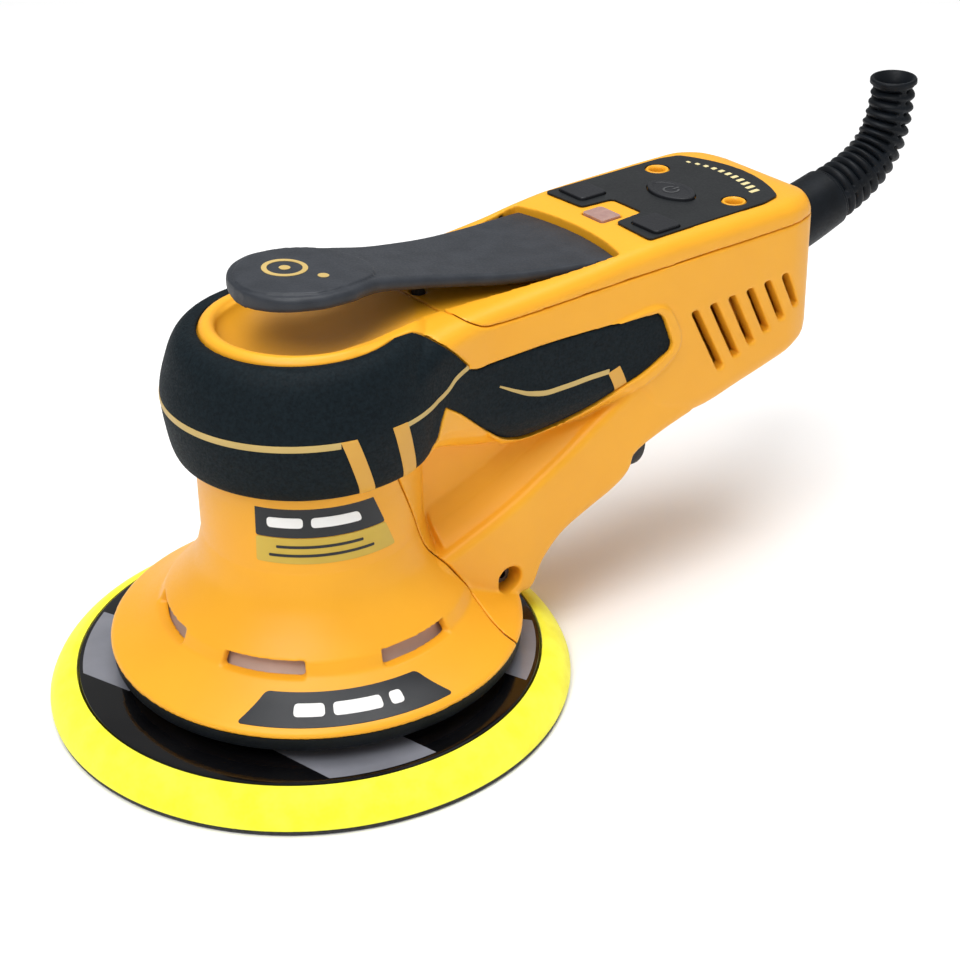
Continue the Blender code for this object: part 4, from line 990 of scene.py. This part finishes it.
def stripe(grip, outline, low, high):
    return lifted(keep_inside(add(grip.data.copy()), prism(outline, low, high, "y")), MARK_LIFT)


def subdivided(outline, step):
    out = []
    for a, b in zip(outline, outline[1:] + outline[:1]):
        parts = max(1, math.ceil(math.dist(a, b) / step))
        for k in range(parts):
            out.append((a[0] + (b[0] - a[0]) * k / parts, a[1] + (b[1] - a[1]) * k / parts))
    return out


def neck_patch(corners, lift, corner_radius=0.8):
    """A thin sheet on the neck, its outline given as (degrees, z)."""
    radius = BELL_OUTER[1][0]
    scale = math.radians(1) * radius
    flat = subdivided(rounded_corners([(angle * scale, z) for angle, z in corners], corner_radius), 1)
    band = ring(radius - 0.5, radius + lift, 50, 76, 240)
    return keep_inside(band, loft([[(*polar(u / radius, reach), z) for u, z in flat] for reach in (22, 44)]))


def box_of(left, right, low, high):
    return [(left, low), (left, high), (right, high), (right, low)]


def skirt_patch(outline, lift):
    """A thin sheet on the bell's skirt, its outline given in plan."""
    slope = smooth_rows(BELL_OUTER[6:9], 6)
    top = [(radius + lift * 0.5, z + lift * 0.87) for radius, z in slope]
    below = [(radius - 0.25, z - 0.5) for radius, z in reversed(slope)]
    return keep_inside(turned(top + below, closed=True, segments=240), prism(outline, 10, 40, "z"))


def skirt_outline(corners, corner_radius=1.4):
    """Plan outline from (degrees, radius) corners, its long edges following the skirt."""
    scale = math.radians(1) * SKIRT_RADIUS
    flat = subdivided(rounded_corners([(angle * scale, radius) for angle, radius in corners], corner_radius), 1)
    return [polar(u / SKIRT_RADIUS, radius) for u, radius in flat]


def panel_marks():
    """Rising bars along the overlay's bowed rear edge."""
    made = []
    for k in range(GAUGE_BARS):
        share = k / (GAUGE_BARS - 1)
        y = 15 - 30 * share
        length = 1 + 2.4 * share
        x = 153.4 - 6.4 * (y / ARC_HALF) ** 2 - length / 2
        made.append(prism(rounded_plan(x, y, length / 2, 0.75, 0.3, 3), PANEL_TOP + 0.3, PANEL_TOP + 0.47, "z"))
    return merged(made)


def merged(objects):
    bm = bmesh.new()
    for obj in objects:
        bm.from_mesh(obj.data)
        bpy.data.objects.remove(obj)
    return from_bmesh(bm)


def icon(outline):
    return prism(outline, BUTTON_TOP - 0.2, BUTTON_TOP + 0.12, "z")


def icon_bar(x, y, half_x, half_y):
    return icon(rounded_plan(x, y, half_x, half_y, min(half_x, half_y) * 0.9, 3))


def power_icon():
    arc = [polar(math.radians(180 + order * (k - 15) * 10), reach, POWER_BUTTON_X)
           for reach, order in ((2.5, 1), (1.9, -1)) for k in range(31)]
    return merged([icon(arc), icon_bar(POWER_BUTTON_X + 1.9, 0, 1.2, 0.3)])


def paddle_mark():
    """Generic orbit sign on the paddle's tip: a ring with a dot riding on it."""
    shapes = [ring(4.7, 6.1, 123, ABOVE, 48, (-2.2, 2.6)), disc(1.5, 123, ABOVE, 40, (3.4, -7.2)),
              prism(rounded_plan(-2.2, 2.6, 1.5, 1.5, 1.4), 123, ABOVE, "z")]
    sheet = cut(lever_body(0.72), lever_body(0.3))
    return keep_inside(sheet, merged(shapes))


# ------------ assembly

def place(piece, name, mat, body="housing", nodes=(), angle=40):
    piece.name = name
    piece.data.name = name
    piece.data.materials.clear()
    piece.data.materials.append(mat)
    piece.data.shade_smooth()
    piece.data.set_sharp_from_angle(angle=math.radians(angle))
    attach(piece, body)
    if nodes:
        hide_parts(*nodes)
    return piece


def add_shells():
    for build, name in ((front_housing, "bell_shell"), (handle_housing, "handle_shell"), (top_cover, "cover_shell")):
        place(build(), name, YELLOW, nodes=[build.__name__], angle=60)
    place(dust_port(), "port_tube", DARK, nodes=["dust_port"])
    place(brake_seal(), "seal_ring", SLEEVE, nodes=["brake_seal"])
    place(fan_shroud(), "shroud_funnel", SHROUD, nodes=["fan_shroud"])
    place(cord_sleeve(), "cord_sleeve", SLEEVE, nodes=["strain_relief"])


def add_grips():
    grips = rounded_edges(soft_grips(), 0.5, 6, 98000)
    ring_band = [(-60, 92.8), (-12.4, 92.8), (-12.4, 94.4), (-60, 94.4)]
    gold = [stripe(grips, ring_band, -60, 60)]
    yellow = []
    for low, high in ((-60, -1), (1, 60)):
        for outline in (band_outline(HEAD_PIN, 1.1), band_outline(SIDE_PIN, 1.3, 0.3)):
            gold.append(stripe(grips, outline, low, high))
        for outline in (SIDE_STRIPE, HEAD_STRIPE_1, HEAD_STRIPE_2):
            yellow.append(stripe(grips, outline, low, high))
    place(merged(gold), "grip_pinstripes", GOLD)
    place(merged(yellow), "grip_stripes", STRIPE)
    place(grips, "soft_grips", RUBBER, nodes=["head_grip", "side_grip_left", "side_grip_right"],
          angle=60)


def add_labels():
    upper = [(-150.5, 63.4), (-150, 72.8), (-90, 72.8), (-82.8, 63.4)]
    lower = [(-151, 55.6), (-150.5, 63.2), (-82.6, 63.2), (-76.4, 55.2)]
    place(neck_patch(upper, MARK_LIFT), "neck_label_upper", LABEL_BLACK)
    place(neck_patch(lower, MARK_LIFT), "neck_label_lower", LABEL_GOLD)
    bars = [neck_patch(box_of(-144, -126, 66.4, 69.4), BAR_LIFT, 1.2),
            neck_patch([(-122, 66.4), (-122, 69.4), (-98, 69.4), (-96, 66.4)], BAR_LIFT, 1.2)]
    place(merged(bars), "neck_label_bars", MARK_WHITE)
    lines = [neck_patch(box_of(-140, -96, 60.2, 61), BAR_LIFT, 0.3),
             neck_patch(box_of(-144, -90, 57.6, 58.4), BAR_LIFT, 0.3)]
    place(merged(lines), "neck_label_lines", LABEL_BLACK)
    skirt = skirt_outline([(-139.4, 47.4), (-145.4, 56.4), (-83.4, 56.4), (-89.6, 47.4)])
    place(skirt_patch(skirt, MARK_LIFT), "skirt_label", LABEL_BLACK)
    marks = []
    for start, end in ((-130, -121), (-118.5, -104), (-101.5, -97.5)):
        marks.append(skirt_patch(skirt_outline(box_of(start, end, 50.2, 53.6), 1.2), BAR_LIFT))
    place(merged(marks), "skirt_label_bars", MARK_WHITE)


def add_controls():
    place(panel_overlay(), "panel_overlay", OVERLAY, nodes=["control_label"])
    place(panel_marks(), "panel_gauge", GAUGE)
    for node, outline in button_outlines().items():
        place(button_cap(outline), node + "_cap", DARK, node, [node])
    x, y = SPEED_BUTTON
    plus = join(icon_bar(x, y, 0.32, 2), icon_bar(x, y, 2, 0.32))
    place(icon_bar(x, -y, 0.32, 2), "minus_icon", ICON, "speed_down_button")
    place(plus, "plus_icon", ICON, "speed_up_button")
    place(power_icon(), "power_icon", ICON, "power_button")
    lens = prism(lens_outline(), 112.4, PANEL_TOP + 0.2, "z")
    place(rounded_edges(lens, 0.2, 4, 9000), "status_lens", LENS, nodes=["indicator_lens"])
    place(lever_paddle(), "lever_paddle", PADDLE, "lever", ["lever"], 60)
    place(paddle_mark(), "paddle_mark", GOLD, "lever")
    coil = place(lever_coil(), "lever_coil", STEEL, nodes=["lever_spring"])
    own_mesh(coil)


def add_pad():
    place(backing_plate(), "plate_disc", PLATE, "pad", ["backing_plate"])
    foam = place(pad_foam(), "foam_ring", FOAM, "pad", ["pad_foam"])
    place(hook_face(), "hook_disc", HOOK, "pad", ["hook_face"])
    # Grey bands on the plate: painted reflections of the lamps
    place(merged([plate_band(outline) for outline in PLATE_REFLECTION_BANDS]), "plate_painted_reflections", PLATE_REFLECTION_GREY, "pad")


def finish_cad_nodes():
    """Procedural finishes for the inner nodes that stay as the CAD shapes them."""
    finishes = {"steel": STEEL, "board_green": BOARD, "aluminium": ALLOY, "copper": COPPER, "core_iron": IRON,
                "fan_grey": FAN, "dark_plastic": DARK, "grip_rubber": RUBBER, "housing_yellow": YELLOW, "lens": LENS,
                "shroud_pink": SHROUD, "plate_black": PLATE, "foam_yellow": FOAM, "hook_grey": HOOK}
    slots = {row["node"]: row["material_slot"] for row in frame["record"]["subparts"]}
    for name, obj in frame["nodes"].items():
        obj.data.materials.clear()
        obj.data.materials.append(BLUED if "screw" in name or name == "lever_pin" else finishes[slots[name]])


# ------------ stage

FLOOR_HALF = 4  # metres, as are the lamps' and the camera's places
FLOOR_DROP = 0.0002
LAMP_TARGET = (0.04, 0, 0.06)


def add_floor():
    bm = bmesh.new()
    bmesh.ops.create_grid(bm, x_segments=1, y_segments=1, size=FLOOR_HALF)
    floor = from_bmesh(bm)
    floor.name = "floor"
    pale = surface("pale_floor", (0.97, 0.97, 0.97), (0.95, 0.95, 0.95), (0.75, 0.85), 20, 0.01, 2)
    floor.data.materials.append(pale)
    floor.location.z = -FLOOR_DROP


def add_lamp(name, place_at, size, power):
    light = bpy.data.lights.new(name, "AREA")
    light.shape = "RECTANGLE"
    light.size, light.size_y = size
    light.energy = power
    lamp = bpy.data.objects.new(name, light)
    bpy.context.scene.collection.objects.link(lamp)
    lamp.location = place_at
    lamp.rotation_euler = (Vector(LAMP_TARGET) - Vector(place_at)).to_track_quat("-Z", "Y").to_euler()


def add_light():
    world = bpy.data.worlds.new("studio")
    bpy.context.scene.world = world
    world.use_nodes = True
    background = world.node_tree.nodes["Background"]
    background.inputs["Color"].default_value = (1, 1, 1, 1)
    background.inputs["Strength"].default_value = 0.4
    add_lamp("key", (-0.6, -0.35, 1.2), (0.8, 0.8), 12)
    add_lamp("fill", (0.55, -1.2, 0.55), (0.9, 0.7), 0.7)
    add_lamp("top", (0.2, 0.1, 1.35), (1, 0.8), 12)


def add_camera():
    """The photograph's viewpoint, found from the pad's ellipse and the handle's lines."""
    turn, rise, roll = -0.63982240, 0.50466102, -0.01513090
    location = Vector((-0.26394113, -0.43260049, 0.34285216))
    focal_px, width_px = 2109, 960
    back = Vector((math.sin(turn) * math.cos(rise), -math.cos(turn) * math.cos(rise), math.sin(rise)))
    right = Vector((math.cos(turn), math.sin(turn), 0))
    up = back.cross(right)
    c, s = math.cos(roll), math.sin(roll)
    right, up = c * right + s * up, -s * right + c * up
    camera = bpy.data.cameras.new("camera")
    camera.sensor_width = 36
    camera.lens = focal_px / width_px * camera.sensor_width
    camera.clip_start = 0.01
    seat = bpy.data.objects.new("camera", camera)
    bpy.context.scene.collection.objects.link(seat)
    matrix = Matrix((right, up, back)).transposed().to_4x4()
    matrix.translation = location
    seat.matrix_world = matrix
    bpy.context.scene.camera = seat


finish_cad_nodes()
add_shells()
add_grips()
add_labels()
add_controls()
add_pad()
add_floor()
add_light()
add_camera()
bpy.context.scene.view_settings.view_transform = "Standard"
